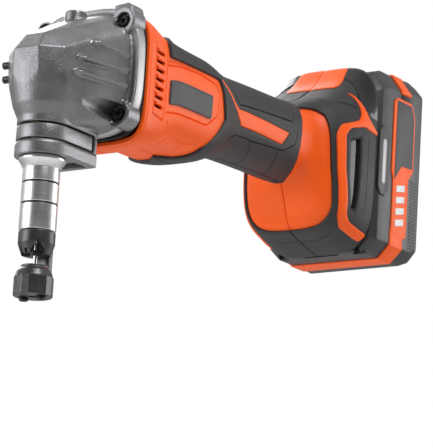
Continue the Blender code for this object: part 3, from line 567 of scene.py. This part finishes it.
for side, word in SIDES:
    surf = BODY.surf(side)
    switch_turn = angle_for(96.0, SWITCH_HALF, 1)
    well = [(112, 90), (112, switch_turn), (84, switch_turn), (84, 90)]
    shell_edge = BODY.flat([(42.2, -90), (269.8, -90), (269.8, 90), *well, (42.2, 90)])
    slot_frame = [(49.6, 19.5), (49.2, 8.0), (49.0, -8.0), (49.2, -19.5)]
    slot_frame += [(61.6, -20.5), (61.8, -8.0), (62.0, 8.0), (62.2, 18.0)]
    lines = [
        (by_height(slot_frame), 0.55, 0.7),
        (by_height(FRAME_LINE), 0.6, 0.8),
        (by_height([(62.4, 13.0), (84.0, 15.8)]), 0.5, 0.5),
        (by_height([(66.0, -19.6), (72.7, -24.2), (93.5, -24.6), (104.0, -23.0)]), 0.45, 0.5),
        (BODY.flat([(79.4, -52), (80.4, -66), (82, -90)]), 0.45, 0.5),
        (BODY.flat([(94.5, -52), (96.4, -66), (99, -90)]), 0.45, 0.5),
        (BODY.flat([(44.6, -88), (44.6, 88)]), 0.35, 0.3),
    ]
    patch(f"shell_{word}", surf, shell_edge, "orange_plastic", step=2.2, edge=0.5, grooves=lines,
        holes=[fillet(by_height(s), 0.4, 2) for s in SLOTS] + [by_height(VENT)], replaces=[f"housing_{word}"])

    grip_rear = [
        (108, -60), (106, -76), (102, -84), (99, -90), (227, -90), (226.2, -82), (220.5, -64), (216, -45),
        (213.6, -26), (213.2, -8.6), (214, 14), (215.6, 36), (219.3, 52), (225, 70), (230.5, 90),
    ]
    grip_edge = np.vstack([
        BODY.flat([*well, (77, 90), (73.5, 62)]), by_height(GRIP_EDGE), BODY.flat(grip_rear),
    ])
    panel_edge = BODY.flat([
        (120.4, 32.4), (133, 22.5), (141.2, 9.5), (145.2, 4.0), (199.8, -4.6), (194.2, -25), (149.8, -19.5),
        (142.4, 1.0), (139.2, 6.8), (131.8, 19), (119.6, 29.6),
    ])
    panel_hole = BODY.flat([(144.6, 4.0), (199.8, -4.6), (194.2, -25), (149.8, -19.5), (142.4, 0.4)])
    grip_lines = [(BODY.flat(line), width, depth) for line, width, depth in (
        ([(127, 62), (132.6, 40), (141.4, 19), (146.6, 10.4), (203.5, 14.7), (206.2, 26), (206.7, 60)], 0.55, 0.8),
        ([(129, -52), (135, -36), (146, -31.6), (165.6, -35.8), (198, -32.2), (207, -19), (208.4, 0)], 0.5, 0.7),
        ([(165.6, -37), (169.5, -50), (175, -70), (177, -88)], 0.5, 0.7),
        ([(193, -34), (196.6, -52), (204, -76), (206, -88)], 0.5, 0.7),
        ([(81.5, 62), (84, 46), (107.2, 47), (112.6, 33), (117.0, 31)], 0.5, 0.6),
    )]
    patch(f"grip_cover_{word}", surf, grip_edge, "charcoal_rubber", step=2.0, top=1.8, bottom=0.1, edge=1.0,
        grooves=grip_lines, holes=[fillet(panel_hole, 1.0, 3)], replaces=[f"grip_{word}"])
    patch(f"grip_inlay_{word}", surf, fillet(panel_edge, 0.8, 3), "orange_plastic", step=2.0, top=1.95,
        bottom=0.2, edge=0.4, replaces=[f"grip_panel_{word}"])
    patch(f"name_plate_{word}", surf, fillet(by_height(PLATE), 1.6, 4), "label_grey", step=2.0, top=1.0,
        bottom=-0.6, edge=0.5, replaces=[f"label_plate_{word}"], slot="grey_plastic")

    collar_edge = BODY.flat([
        (271, 90), (230.8, 90), (225.3, 70), (219.6, 52.6), (227, 56), (230.9, 47.5), (233.3, 40.3),
        (234, 27.8), (235.3, -12.6), (237.4, -34), (239.4, -44.5), (240.8, -62), (241.2, -77.6),
        (241.4, -90), (271, -90),
    ])
    collar_lines = [
        (BODY.flat([(238.6, 88), (237.5, 58.6), (246.5, 51.5), (253, 45)]), 0.5, 0.6),
        (BODY.flat([(250, -62), (252, -74), (252, -88)]), 0.5, 0.5),
        (by_height([(262.5, 18.0), (262.8, 0.0), (262.5, -24.0)]), 0.4, 0.4),
    ]
    patch(f"collar_{word}", surf, collar_edge, "charcoal_rubber", step=1.9, top=1.8, bottom=0.1, edge=0.9,
        grooves=collar_lines, holes=[fillet(by_height(VENT), 0.8, 3)], replaces=[f"rear_cover_{word}"])
    patch(f"vent_rim_{word}", surf, fillet(by_height(RIM), 2.0, 4), "orange_plastic", step=1.5, top=2.7,
        bottom=1.0, edge=0.8, replaces=[f"vent_frame_{word}"])
    crown = [(x, angle_for(x, across, 1)) for x, across in ((255.2, 16.0), (257.4, 18.0), (270.8, 16.5))]
    crown_edge = BODY.flat([(254.6, 90), *crown, (270.8, 90)])
    patch(f"crown_{word}", surf, crown_edge, "orange_plastic", step=1.6, top=2.3, bottom=1.0, edge=0.4)
    cheek_edge = BODY.flat([(255.5, 46), (264, 36.6), (270.9, 31), (270.9, 80), (266.5, 80), (262.0, 62)])
    patch(f"cheek_{word}", surf, fillet(cheek_edge, 1.2, 3), "gloss_black", step=1.6, top=2.2, bottom=1.0,
        edge=0.5, slot="black_oxide")


def wires(name, surf, lines, radius, lift, look, body, **tags):
    """Thin square wires that follow a surface, as one mesh."""
    points, faces = [], []
    for line in lines:
        start = len(points)
        centre = surf(line[:, 0], line[:, 1], np.full(len(line), lift))
        lower = surf(line[:, 0], line[:, 1], np.full(len(line), lift - radius * 2))
        along = np.gradient(centre, axis=0)
        outward = centre - lower
        across = np.cross(along, outward)
        across /= np.linalg.norm(across, axis=1)[:, None]
        for k in range(len(line)):
            out = across[k] * radius
            points += [centre[k] - out, centre[k] + out, lower[k] + out, lower[k] - out]
        for k in range(len(line) - 1):
            a = start + 4 * k
            for j in range(4):
                faces.append((a + j, a + (j + 1) % 4, a + 4 + (j + 1) % 4, a + 4 + j))
        faces.append((start, start + 3, start + 2, start + 1))
        last = start + 4 * (len(line) - 1)
        faces.append((last, last + 1, last + 2, last + 3))
    return piece(name, points, faces, look, body, **tags)


WEAVE_PITCH, WEAVE_STEP = 1.1, 0.5
WEAVE_SHARE = 0.62  # of the vent's length, from its front end
DIAGONAL = np.array([0.7071, 0.7071])
vent_flat = by_height(VENT)
vent_low, vent_high = vent_flat.min(axis=0), vent_flat.max(axis=0)
vent_middle = (vent_low + vent_high) / 2
span = (vent_high - vent_low).sum()
weave_end = vent_low[0] + WEAVE_SHARE * (vent_high[0] - vent_low[0])
# Painted shade: a near-black liner round each vent and a near-black sheet behind its opening stand in for the shade
# inside the vent.
for side, word in SIDES:
    liner = fillet(vent_middle + (vent_flat - vent_middle) * [1.10, 1.03], 0.8, 3)
    opening = fillet(vent_middle + (vent_flat - vent_middle) * [0.90, 0.96], 0.8, 3)
    patch(f"vent_shade_liner_{word}", BODY.surf(side), liner, "painted_shade_black", holes=[opening], step=1.2, top=1.3,
        bottom=-3.0, edge=0.2, slot="black_oxide")
    patch(f"vent_shade_sheet_{word}", BODY.surf(side), opening, "painted_shade_black", step=1.6, top=-2.4, bottom=-2.9,
        edge=0.1, slot="black_oxide")
for side, word in SIDES:
    strands = []
    for lean in (-1, 1):
        for k in range(int(span / WEAVE_PITCH) + 1):
            begin = np.array([vent_low[0] - 2 + k * WEAVE_PITCH - (vent_high[1] - vent_low[1]), vent_low[1]])
            line = begin + np.arange(0, span, WEAVE_STEP)[:, None] * DIAGONAL
            if lean < 0:
                line = line * [1, -1] + [0, vent_low[1] + vent_high[1]]
            strand = line[inside(line, vent_flat) & (line[:, 0] < weave_end)]
            if len(strand) > 2:
                strands.append(strand)
    wires(f"vent_weave_{word}", BODY.surf(side), strands, 0.17, 0.4, "silver_mesh", "tool_body",
        replaces=[f"vent_mesh_{word}"])


# ---- cast and carved pieces
def raw(points, faces):
    """A closed mesh object from points and faces, not yet a piece."""
    return stand("blank", closed_mesh("blank", points, faces))


def blank(work):
    """Makes a bmesh into a mesh object that isn't a piece yet."""
    data = bpy.data.meshes.new("blank")
    work.to_mesh(data)
    work.free()
    return stand("blank", data)


def hull(points):
    """The convex solid round these points."""
    work = bmesh.new()
    for p in place(points):
        work.verts.new(p)
    found = bmesh.ops.convex_hull(work, input=work.verts)
    loose = {v for v in found["geom_interior"] + found["geom_unused"] if isinstance(v, bmesh.types.BMVert)}
    bmesh.ops.delete(work, geom=list(loose), context="VERTS")
    bmesh.ops.recalc_face_normals(work, faces=work.faces)
    return blank(work)


def prism(outline, axis, low, high):
    """An outline pushed along an axis. The outline's two numbers are the other two axes, in X, Y, Z order."""
    turn = "XYZ".index(axis)
    points = []
    for end in (low, high):
        for pair in outline:
            point = list(pair)
            point.insert(turn, end)
            points.append(point)
    count = len(outline)
    faces = [tuple(range(count))[::-1], tuple(range(count, 2 * count))]
    faces += [(k, (k + 1) % count, count + (k + 1) % count, count + k) for k in range(count)]
    return raw(points, faces)


def rod(axis, centre, radius, low, high, steps=32, end_radius=None):
    """A cylinder or cone along an axis through centre, which gives the other two coordinates."""
    rings = []
    turn = "XYZ".index(axis)
    for end, size in ((low, radius), (high, end_radius or radius)):
        for pair in arc(size, centre, 0, 360 - 360 / steps, steps - 1):
            point = list(pair)
            point.insert(turn, end)
            rings.append(point)
    return hull(rings)


def bake(target, *modifiers):
    """Applies modifiers, each a type with its settings, and returns the finished mesh object."""
    for kind, settings in modifiers:
        made = target.modifiers.new(kind, kind)
        for key, value in settings.items():
            setattr(made, key, value)
    graph = bpy.context.evaluated_depsgraph_get()
    data = bpy.data.meshes.new_from_object(target.evaluated_get(graph))
    target.modifiers.clear()
    target.data = data
    return target


def drop(*objects):
    for each in objects:
        bpy.data.objects.remove(each)


def merge(objects):
    """Several closed meshes as one object."""
    work = bmesh.new()
    for each in objects:
        work.from_mesh(each.data)
    drop(*objects)
    return blank(work)


def carve(solids, cutters):
    """Each solid less every cutter, then joined as one mesh."""
    cutter = merge(cutters) if cutters else None
    if cutter:
        settings = {"operation": "DIFFERENCE", "object": cutter, "solver": "EXACT", "use_self": True}
        for each in solids:
            bake(each, ("BOOLEAN", settings))
        drop(cutter)
    return merge(solids)


def cast(name, solids, cutters, voxel, soften, look, body, replaces):
    """A casting: solids joined, cutters taken away, and every edge softened."""
    made = carve(solids, cutters)
    bake(made, ("REMESH", {"mode": "VOXEL", "voxel_size": voxel * MM}),
        ("SMOOTH", {"factor": 0.5, "iterations": soften}))
    made.name = name
    return finish_piece(made, look, body, replaces, sharp=50.0)


def rounding(width, angle):
    """Bevel settings: its width in millimetres, on edges that turn by more than this angle."""
    return {"width": width * MM, "segments": 3, "limit_method": "ANGLE", "angle_limit": math.radians(angle)}


def solid(name, made, look, body, replaces=(), slot=None, bevel=0.4):
    """A machined or moulded piece with rounded edges."""
    if bevel:
        bake(made, ("BEVEL", rounding(bevel, 28)))
    made.name = name
    return finish_piece(made, look, body, replaces, slot, sharp=35.0)


FLANGE_MIDDLE = 1.5


def ring_points(radius, z, start=90.0, sweep=180.0, steps=24):
    """Points on an arc round the punch axis at one height."""
    return [(x, y, z) for x, y in arc(radius, (0, 0), start, sweep, steps)]


def faceted(radius, z, turns):
    """Points round the front of the head, at these turns to each side, that leave flats between them."""
    pairs = [(math.radians(turn), side) for turn in turns for side in (-1, 1)]
    return [(-radius * math.cos(turn), side * radius * math.sin(turn), z) for turn, side in pairs]


def oblong(x0, x1, half):
    """The corners of a rectangle from x0 to x1, even about the split line."""
    return [(x0, -half), (x1, -half), (x1, half), (x0, half)]


def squircle(half_y, half_z, mid_z, power, steps=64):
    """A rounded square as (y, z) points."""
    out = []
    for k in range(steps):
        turn = 2 * math.pi * k / steps
        reach = (abs(math.cos(turn) / half_y) ** power + abs(math.sin(turn) / half_z) ** power) ** (-1 / power)
        out.append((reach * math.cos(turn), mid_z + reach * math.sin(turn)))
    return out


def flange(half):
    """The outline of the head's rear end."""
    return squircle(half, half + 1.0, FLANGE_MIDDLE, 3.4)


# ---- gear head
NOSE = faceted(21.9, 2.6, (22, 58)) + faceted(21.7, -10.0, (24, 60)) + ring_points(21.0, -6.0)
NOSE += ring_points(20.4, -17.0) + ring_points(18.0, -26.6) + ring_points(13.4, -36.7)
for side in (-1, 1):
    roof = ((-14.0, 6.0, 11.6), (2.6, 14.8, 16.8), (8.2, 8.0, 23.6), (18.6, 17.6, 25.4))
    NOSE += [(x, side * y, z) for x, y, z in roof]
NOSE += [(35.0, y, z) for y, z in flange(33.0)]
shell_hull = hull(NOSE)
shell_tree = BVHTree.FromObject(shell_hull, bpy.context.evaluated_depsgraph_get())


def wall(x, z, side):
    """How far out the head's side wall is at this place."""
    start = Vector(place((x, side * 80.0, z)))
    return abs(shell_tree.ray_cast(start, Vector((0, -side, 0)))[0].y) / MM


head = [shell_hull, prism(flange(34.5), "X", 31.0, 39.0)]
for radius, end, low, high in ((14.6, 28.0, -53.8, -30.0), (15.3, 27.5, -54.0, -47.5), (15.0, 27.5, -37.0, -33.0)):
    head.append(prism(arc(radius, (0, 0), 90, 180, 24) + [(end, -radius), (end, radius)], "Z", low, high))
head.append(rod("Z", (20.0, 0.0), 6.6, 20.0, 32.8, 32, 5.8))
head.append(hull([(26.0, y, z) for y, z in ((-5, 31), (5, 31), (-7, 24), (7, 24))]
    + [(38.0, y, 36.4) for y in (-8, 8)] + [(38.0, y, 24) for y in (-12, 12)]))
SCREWS = [(-26.5, 27.5), (26.5, 27.5), (26.5, -24.5), (-26.5, -24.5)]
BOSS, SMALL_BOSS = 7.6, 5.4
for y, z in SCREWS:
    head.append(rod("X", (y, z), SMALL_BOSS if (y, z) == SCREWS[1] else BOSS, 27.4, 38.8, 32))
shoulder = ((-20.0, 36.6), (-28.8, 37.4), (-31.8, 35.2), (-32.8, 27.5), (-20.0, 28.0))
head.append(hull([(x, y, z) for x in (28.0, 38.6) for y, z in shoulder]))
for side in (-1, 1):
    for x0, z0, x1, z1 in ((7.0, 9.6, 29.0, 6.7), (-2.2, -0.9, 29.0, -1.6), (-3.4, -9.0, 29.0, -10.2)):
        front, rear = wall(x0 + 1, z0, side), wall(x1, z1, side)
        rib = [(x0 + 1.2, front + 3.2, z0), (x0 - 1.6, front + 0.4, z0)]
        rib += [(x0, front - 2, z0 + 2.3), (x0, front - 2, z0 - 2.3)]
        rib += [(x0 + 2.2, front + 2.9, z0 + 1.1), (x0 + 2.2, front + 2.9, z0 - 1.1)]
        rib += [(x1, rear + 1.0, z1 + 0.8), (x1, rear + 1.0, z1 - 0.8)]
        rib += [(x1, rear - 2, z1 + 1.6), (x1, rear - 2, z1 - 1.6)]
        head.append(hull([(x, side * y, z) for x, y, z in rib]))
cavity = ring_points(16.6, -2.0, 0, 360, 24) + ring_points(16.6, -17.0, 0, 360, 24)
for side in (-1, 1):
    under = ((-10.0, 4.0, 6.4), (2.0, 10.0, 12.0), (9.0, 6.0, 16.5), (20.0, 14.0, 20.0))
    cavity += [(x, side * y, z) for x, y, z in under]
cavity += ring_points(11.3, -33.0, 0, 360, 24)
cavity += [(40.5, y, FLANGE_MIDDLE + z) for y, z in arc(27.0, (0, 0), 0, 345, 23)]
cuts = [hull(cavity), rod("Z", (0.0, 0.0), 9.15, -60.0, -30.0, 48)]
lock_slot = [(-30, -30), (25.7, -30), (25.7, -11), (14.5, -11), (14.5, 11), (25.7, 11), (25.7, 30), (-30, 30)]
cuts.append(prism(lock_slot, "Z", -46.3, -36.9))
cuts.append(prism(oblong(13.0, 25.0, 10.5), "Z", -60.0, -49.5))
for y, z in SCREWS:
    wide, narrow = (6.3, 5.0) if z < 0 else (4.6, 4.3)
    cuts.append(rod("X", (y, z), wide, -8.0, 30.8, 32, narrow))
cast("head_casting", head, cuts, 0.55, 3, "cast_aluminium", "tool_body", ["gear_housing"])
# The rim's lighter aluminium is a painted highlight along the flange; the rim is the same cast aluminium as the
# head.
rim = [prism(flange(34.9), "X", 32.2, 38.8)]
solid("head_rim", carve(rim, [prism(flange(33.4), "X", 30.0, 41.0)]), "painted_highlight_aluminium", "tool_body",
    slot="cast_aluminium", bevel=0.5)
# The joint plate is a real part; its matte near-black paints the shade in the gap between the head and the body.
plate = [prism(squircle(33.4, 35.2, 0.2, 4.6), "X", 39.05, 41.9)]
plate = carve(plate, [rod("X", (0.0, FLANGE_MIDDLE), 20.0, 36.0, 45.0, 48)])
solid("joint_plate", plate, "painted_shade_black", "tool_body", ["gear_plate"], "black_oxide", bevel=0)
for number, (y, z) in enumerate(SCREWS):
    button = [(0, 1.6), (1.15, 1.6), (1.35, 0.35), (2.3, 0.0), (2.9, 0.35), (3.15, 1.0), (3.15, 3.1)]
    button += [(1.5, 3.2), (1.5, 19.8), (0, 19.8)]
    lathe(f"housing_screw_{number + 1}", button, (28.0, y, z), "X", "black_oxide", "tool_body", 36,
        replaces=[f"head_screw_{number + 1}"], sharp=30)

for number, (x, z) in enumerate(((-9.6, -2.8), (-8.8, -10.4))):
    solid(f"side_plug_{number + 1}", rod("Y", (x, z), 2.1, 17.0, 22.8, 32), "black_oxide", "tool_body", bevel=0.5)

band = arc(14.9, (0, 0), 90, 180, 40) + [(23.2, -14.9), (23.2, -12.0)]
band += arc(12.0, (0, 0), 270, -180, 40) + [(23.2, 12.0), (23.2, 14.9)]
solid("lock_band", prism(band, "Z", -45.7, -38.0), "cast_aluminium", "lock", ["lock_yoke"], bevel=0.5)
collar = [(10.1, -60.0), (10.4, -59.8), (11.2, -57.8), (12.6, -56.0), (12.7, -55.2), (12.3, -54.4), (10.1, -54.4)]
lathe("neck_collar", collar, (0, 0, 0), "Z", "polished_steel", "tool_body", 96, replaces=["retaining_ring"],
    sharp=25)

# ---- nozzle, punch and die
BARREL_GROOVES = (-79.5, -68.0)
BOLT_OFF = 5.9  # each die bolt from the punch axis
STRUT_SLOT = oblong(5.7, 20.0, 4.5)
barrel = [(4.8, -94.3), (9.3, -94.3), (9.8, -93.9), (10.0, -93.3)]
for groove in BARREL_GROOVES:
    barrel += [(10.0, groove - 0.75), (9.75, groove - 0.5), (9.2, groove - 0.45)]
    barrel += [(9.2, groove + 0.45), (9.75, groove + 0.5), (10.0, groove + 0.75)]
barrel += [(10.0, -54.8), (9.8, -54.4), (9.0, -54.3), (9.0, -40.0), (4.8, -40.0)]
lathe("barrel_tube", barrel, (0, 0, 0), "Z", "polished_steel", "nozzle", 128, replaces=["nozzle_barrel"], sharp=28)

for number, groove in enumerate(BARREL_GROOVES):
    low, high = groove - 0.44, groove + 0.44
    profile = [(9.25, low), (9.7, low), (9.85, groove), (9.7, high), (9.25, high)]
    lathe(f"barrel_band_{number + 1}", profile, (0, 0, 0), "Z", "black_oxide", "nozzle", 96, sharp=60)

lobes = [rod("Z", (0.0, 0.0), 9.9, -100.8, -94.65, 64), rod("Z", (0.0, 0.0), 8.1, -107.0, -100.8, 64, 9.9)]
arches = [rod("Z", (0.0, 0.0), 4.5, -104.3, -90.0, 40), rod("Z", (0.0, 0.0), 1.7, -110.0, -104.0, 32)]
for side in (-1, 1):
    away = math.radians(45.0 * side)
    shape = [(-4.2, -120.0), (4.2, -120.0), (3.6, -105.0), (0.7, -100.0), (-0.7, -100.0), (-3.6, -105.0)]
    cosine, sine = math.cos(away), math.sin(away)
    arches.append(hull([
        (-reach * cosine - across * sine, across * cosine - reach * sine, z)
        for reach in (2.3, 20.0) for across, z in shape
    ]))
arches.append(rod("X", (0.0, -105.4), 0.95, -20.0, -3.0, 20))
arches.append(prism([(-0.55, -120.0), (0.55, -120.0), (0.55, -105.6), (-0.55, -105.6)], "X", -20.0, -3.0))
arches.append(prism(STRUT_SLOT, "Z", -115.0, -98.7))
cast("guide_head", lobes, arches, 0.22, 3, "dark_steel", "nozzle", ["punch_guide"])
solid("die_strut", prism(oblong(6.0, 9.8, 4.2), "Z", -119.0, -99.0), "dark_steel", "nozzle", ["die_post"],
    "polished_steel", bevel=0.5)
block = [rod("Z", (0.0, 0.0), 10.6, -129.2, -118.8, 14), rod("Z", (0.0, 0.0), 7.4, -118.9, -112.6, 64)]
rings = ((10.2, -118.6), (9.3, -115.8), (6.4, -112.8))
block.append(hull([point for radius, z in rings for point in ring_points(radius, z, 0, 360, 40)]))
seats = [rod("Z", (0.0, 0.0), 2.5, -130.0, -110.0, 40), prism(STRUT_SLOT, "Z", -119.3, -100.0)]
seats += [rod("Z", (0.0, s * BOLT_OFF), 1.6, -140.0, -121.0, 24) for s in (-1, 1)]
seats += [rod("Z", (0.0, s * BOLT_OFF), 2.8, -140.0, -126.3, 24) for s in (-1, 1)]
cast("die_block", block, seats, 0.25, 3, "dark_steel", "nozzle", ["die"])
for number, side in enumerate((-1, 1)):
    bolt = [(0, -129.6), (1.2, -129.6), (1.3, -131.0), (2.2, -131.0), (2.5, -130.6), (2.5, -126.5)]
    bolt += [(1.3, -126.5), (1.3, -121.4), (0, -121.4)]
    lathe(f"die_bolt_{number + 1}", bolt, (0.0, side * BOLT_OFF, 0.0), "Z", "black_oxide", "nozzle", 32,
        replaces=[f"die_screw_{number + 1}"], sharp=30)
tip = [(0, -117.5), (2.0, -117.5), (2.2, -117.3), (2.2, -114.3), (1.1, -113.2), (1.1, -100.0)]
tip += [(4.2, -98.5), (4.2, -46.0), (0, -46.0)]
lathe("punch_pin", tip, (0, 0, 0), "Z", "polished_steel", "punch_rod", 48, replaces=["punch"], sharp=28)

# ---- battery
PACK_HALF = 38.0
PACK_LOW, PACK_HIGH = -46.9, 68.0
PACK_CUT, PACK_CUT_HIGH = 8.0, 11.0
PACK_EDGE = rounding(1.1, 20)


def shell_ring(x, half, low, high, cut_y, cut_low, cut_high):
    """The pack's cross-section at x: its half width, bottom and top, and how far its corners are cut."""
    return [(x, s * a, b) for s in (-1, 1) for a, b in (
        (half, low + cut_low), (half - cut_y, low), (half - cut_y, high), (half, high - cut_high))]


full = (PACK_HALF, PACK_LOW, PACK_HIGH, PACK_CUT, PACK_CUT, PACK_CUT_HIGH)
base = hull(shell_ring(272.2, 35.0, -46.2, 61.0, 7, 7, 9)
            + shell_ring(276.0, PACK_HALF, PACK_LOW, 65.0, PACK_CUT, PACK_CUT, PACK_CUT_HIGH)
            + shell_ring(284.0, *full) + shell_ring(296.9, *full))
cover = hull(shell_ring(297.15, *full) + shell_ring(313.0, PACK_HALF, PACK_LOW, PACK_HIGH, 6, 8, 8)
             + shell_ring(321.4, PACK_HALF, -43.5, 66.2, 6, 7, 7) + shell_ring(323.0, 36.4, -41.5, 64.0, 6, 6, 6.5))
grooves = []
for side in (-1, 1):
    tee = [(270.0, 24.5), (270.0, 28.5), (274.1, 28.5), (274.1, 30.5)]
    tee += [(277.2, 30.5), (277.2, 22.5), (274.1, 22.5), (274.1, 24.5)]
    grooves.append(prism([(x, side * y) for x, y in tee], "Z", -70.0, 41.0))
grooves.append(prism(oblong(270.0, 276.2, 11.8), "Z", -70.0, 5.0))
grooves.append(prism(oblong(278.0, 292.0, 11.3), "Z", 58.0, 80.0))
inner = [(s * 33.0, z) for s, z in ((-1, -44.0), (1, -44.0), (1, 58.0), (-1, 58.0))]
grooves.append(prism(inner, "X", 280.5, 310.0))
bake(base, ("BEVEL", PACK_EDGE))
bake(cover, ("BEVEL", PACK_EDGE))
solid("pack_base", carve([base], grooves), "grey_plastic", "battery", ["battery_base"], bevel=0)
hollow = prism(inner, "X", 290.0, 319.6)
solid("pack_cover", carve([cover], [hollow]), "grey_plastic", "battery", ["battery_cover"], bevel=0)


def section_outline(extra):
    """The pack's cross-section as (y, z) points, from the middle of the left side over the top to the right."""
    half, low, high = PACK_HALF + extra, PACK_LOW - extra, PACK_HIGH + extra
    inner, edge, shoulder = half - PACK_CUT, low + PACK_CUT, high - PACK_CUT_HIGH
    top = [(-half, shoulder), (-inner, high), (inner, high), (half, shoulder)]
    return [(-half, edge), *top, (half, edge), (inner, low), (-inner, low)]


def belt(name, x0, x1, path, look, lift=0.7, sink=0.5):
    """A band round part of the pack. The path is (corner, next corner, share of the way between) stops."""
    outer, under = [
        [tuple(np.array(ring[i]) + (np.array(ring[j]) - np.array(ring[i])) * t) for i, j, t in path]
        for ring in (section_outline(lift), section_outline(-sink))
    ]
    return solid(name, prism(outer + under[::-1], "X", x0, x1), look, "battery", bevel=0.25)


belt("pack_stripe_top", 296.5, 307.5, [(0, 1, 0.985), (1, 1, 0), (2, 2, 0), (3, 3, 0), (4, 4, 0), (4, 5, 0.015)],
    "orange_plastic")
belt("pack_stripe_bottom", 290.0, 304.0, [(5, 4, 0.10), (5, 5, 0), (6, 6, 0), (7, 7, 0), (0, 0, 0), (0, 1, 0.10)],
    "orange_plastic")
LABEL = [
    (290.6, -33.0), (305.4, -33.0), (307.6, -31.0), (307.6, 4.0), (312.6, 10.0), (312.6, 44.0),
    (308.0, 52.0), (291.6, 52.0), (288.6, 49.0), (288.6, 6.0), (290.6, 2.0),
]


def plate_at(name, side, outline, near, far, look, replaces=(), slot=None, bevel=0.35):
    """A plate on one side of the pack, from an (x, height) outline and two distances from the split line."""
    low, high = sorted((side * near, side * far))
    return solid(name, prism(outline, "Y", low, high), look, "battery", replaces, slot, bevel)


BAR_LOW, BAR_PITCH, BAR_COUNT = -27.0, 7.0, 4
RIB_LOW, RIB_PITCH, RIB_COUNT = -37.0, 1.95, 22
for side, word in SIDES:
    plate_at(f"pack_label_{word}", side, fillet(LABEL, 1.2, 3), 37.4, 38.75, "orange_plastic",
        [f"battery_label_{word}"])
    dark = [(291.4, 50.4), (307.4, 50.4), (311.2, 43.4), (311.2, 11.6), (299.0, 11.0), (291.4, 1.0)]
    plate_at(f"pack_label_panel_{word}", side, fillet(dark, 0.8, 3), 38.2, 38.95, "label_grey",
        slot="grey_plastic", bevel=0.15)
    for k in range(BAR_COUNT):
        z = BAR_LOW + BAR_PITCH * k
        bar = [(294.4, z), (303.6, z + 2.0), (303.6, z + 6.0), (294.4, z + 4.0)]
        plate_at(f"charge_bar_{word}_{k + 1}", side, bar, 38.3, 38.98, "pale_paint", slot="clear_lens", bevel=0.1)
    bezel = [(273.4, -7.0), (276.6, -11.4), (281.4, -11.4), (284.6, -7.0)]
    bezel += [(284.6, 27.0), (281.4, 31.4), (276.6, 31.4), (273.4, 27.0)]
    plate_at(f"lamp_bezel_{word}", side, bezel, 37.6, 38.9, "grey_plastic", bevel=0.5)
    window = [(277.0, -3.0), (278.2, -4.4), (279.8, -4.4), (281.0, -3.0)]
    window += [(281.0, 21.6), (279.8, 23.0), (278.2, 23.0), (277.0, 21.6)]
    plate_at(f"lamp_window_{word}", side, window, 38.5, 39.25, "clear_lens", [f"light_bar_{word}"], bevel=0.3)
    for k in range(RIB_COUNT):
        z = RIB_LOW + RIB_PITCH * k
        rib = [(311.4, z), (317.6, z), (317.6, z + 0.95), (311.4, z + 0.95)]
        plate_at(f"pack_rib_{word}_{k + 1}", side, rib, 37.2, 38.35, "grey_plastic", bevel=0.2)
solid("release_key", prism(fillet(oblong(278.6, 291.4, 10.7), 1.4, 4), "Z", 61.5, 67.6), "gloss_black", "release",
    ["battery_release"], "black_oxide", bevel=0.8)

# ---- switch
corners = [(x, y, z) for z in (28.4, 32.4) for y in (-5.6, 5.6) for x in (89.2, 102.8)]
corners += [(x, y, z) for y in (-5.0, 5.0) for x, z in ((91.0, 33.6), (94.0, 33.0))]
slider = [hull(corners)]
slider += [prism([(x, 32.0), (x + 1.0, 32.0), (x + 0.8, 33.6), (x + 0.2, 33.6)], "Y", -4.8, 4.8)
    for x in (92.4, 94.8, 97.2, 99.6)]
solid("slide_switch", merge(slider), "charcoal_rubber", "switch", ["switch_button"], bevel=0.35)

# ---- inner CAD nodes keep their meshes
INSIDE = {
    "bronze": ("plunger_bush",),
    "polished_steel": (
        "crank_bearing_front", "crank_bearing_rear", "motor_bearing_front", "motor_bearing_rear", "plunger",
        "crank_shaft", "pin_roller", "rotor_shaft", "pinion",
    ),
    "copper_winding": ("stator",),
    "grey_plastic": ("motor_carrier", "battery_dock", "fan", "switch_rod"),
    "black_oxide": ("switch_module", "terminal_block"),
    "circuit_board": ("controller_board", "cell_pack"),
    "dark_steel": ("crank_gear", "rotor_core"),
}
for look, nodes in INSIDE.items():
    for node in nodes:
        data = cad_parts[node].data
        data.materials.clear()
        data.materials.append(LOOKS[look])

# ---- floor
# The view is from below the tool, so the floor lies lower still. Both are in metres.
FLOOR = -0.75
FLOOR_HALF = 6.0
floor_mesh = bpy.data.meshes.new("floor")
corners = [(x, y, FLOOR) for x, y in ((-1, -1), (1, -1), (1, 1), (-1, 1))]
floor_mesh.from_pydata([(x * FLOOR_HALF, y * FLOOR_HALF, z) for x, y, z in corners], [], [(0, 1, 2, 3)])
floor_plane = stand("floor", floor_mesh)
floor_mesh.materials.append(LOOKS["floor"])
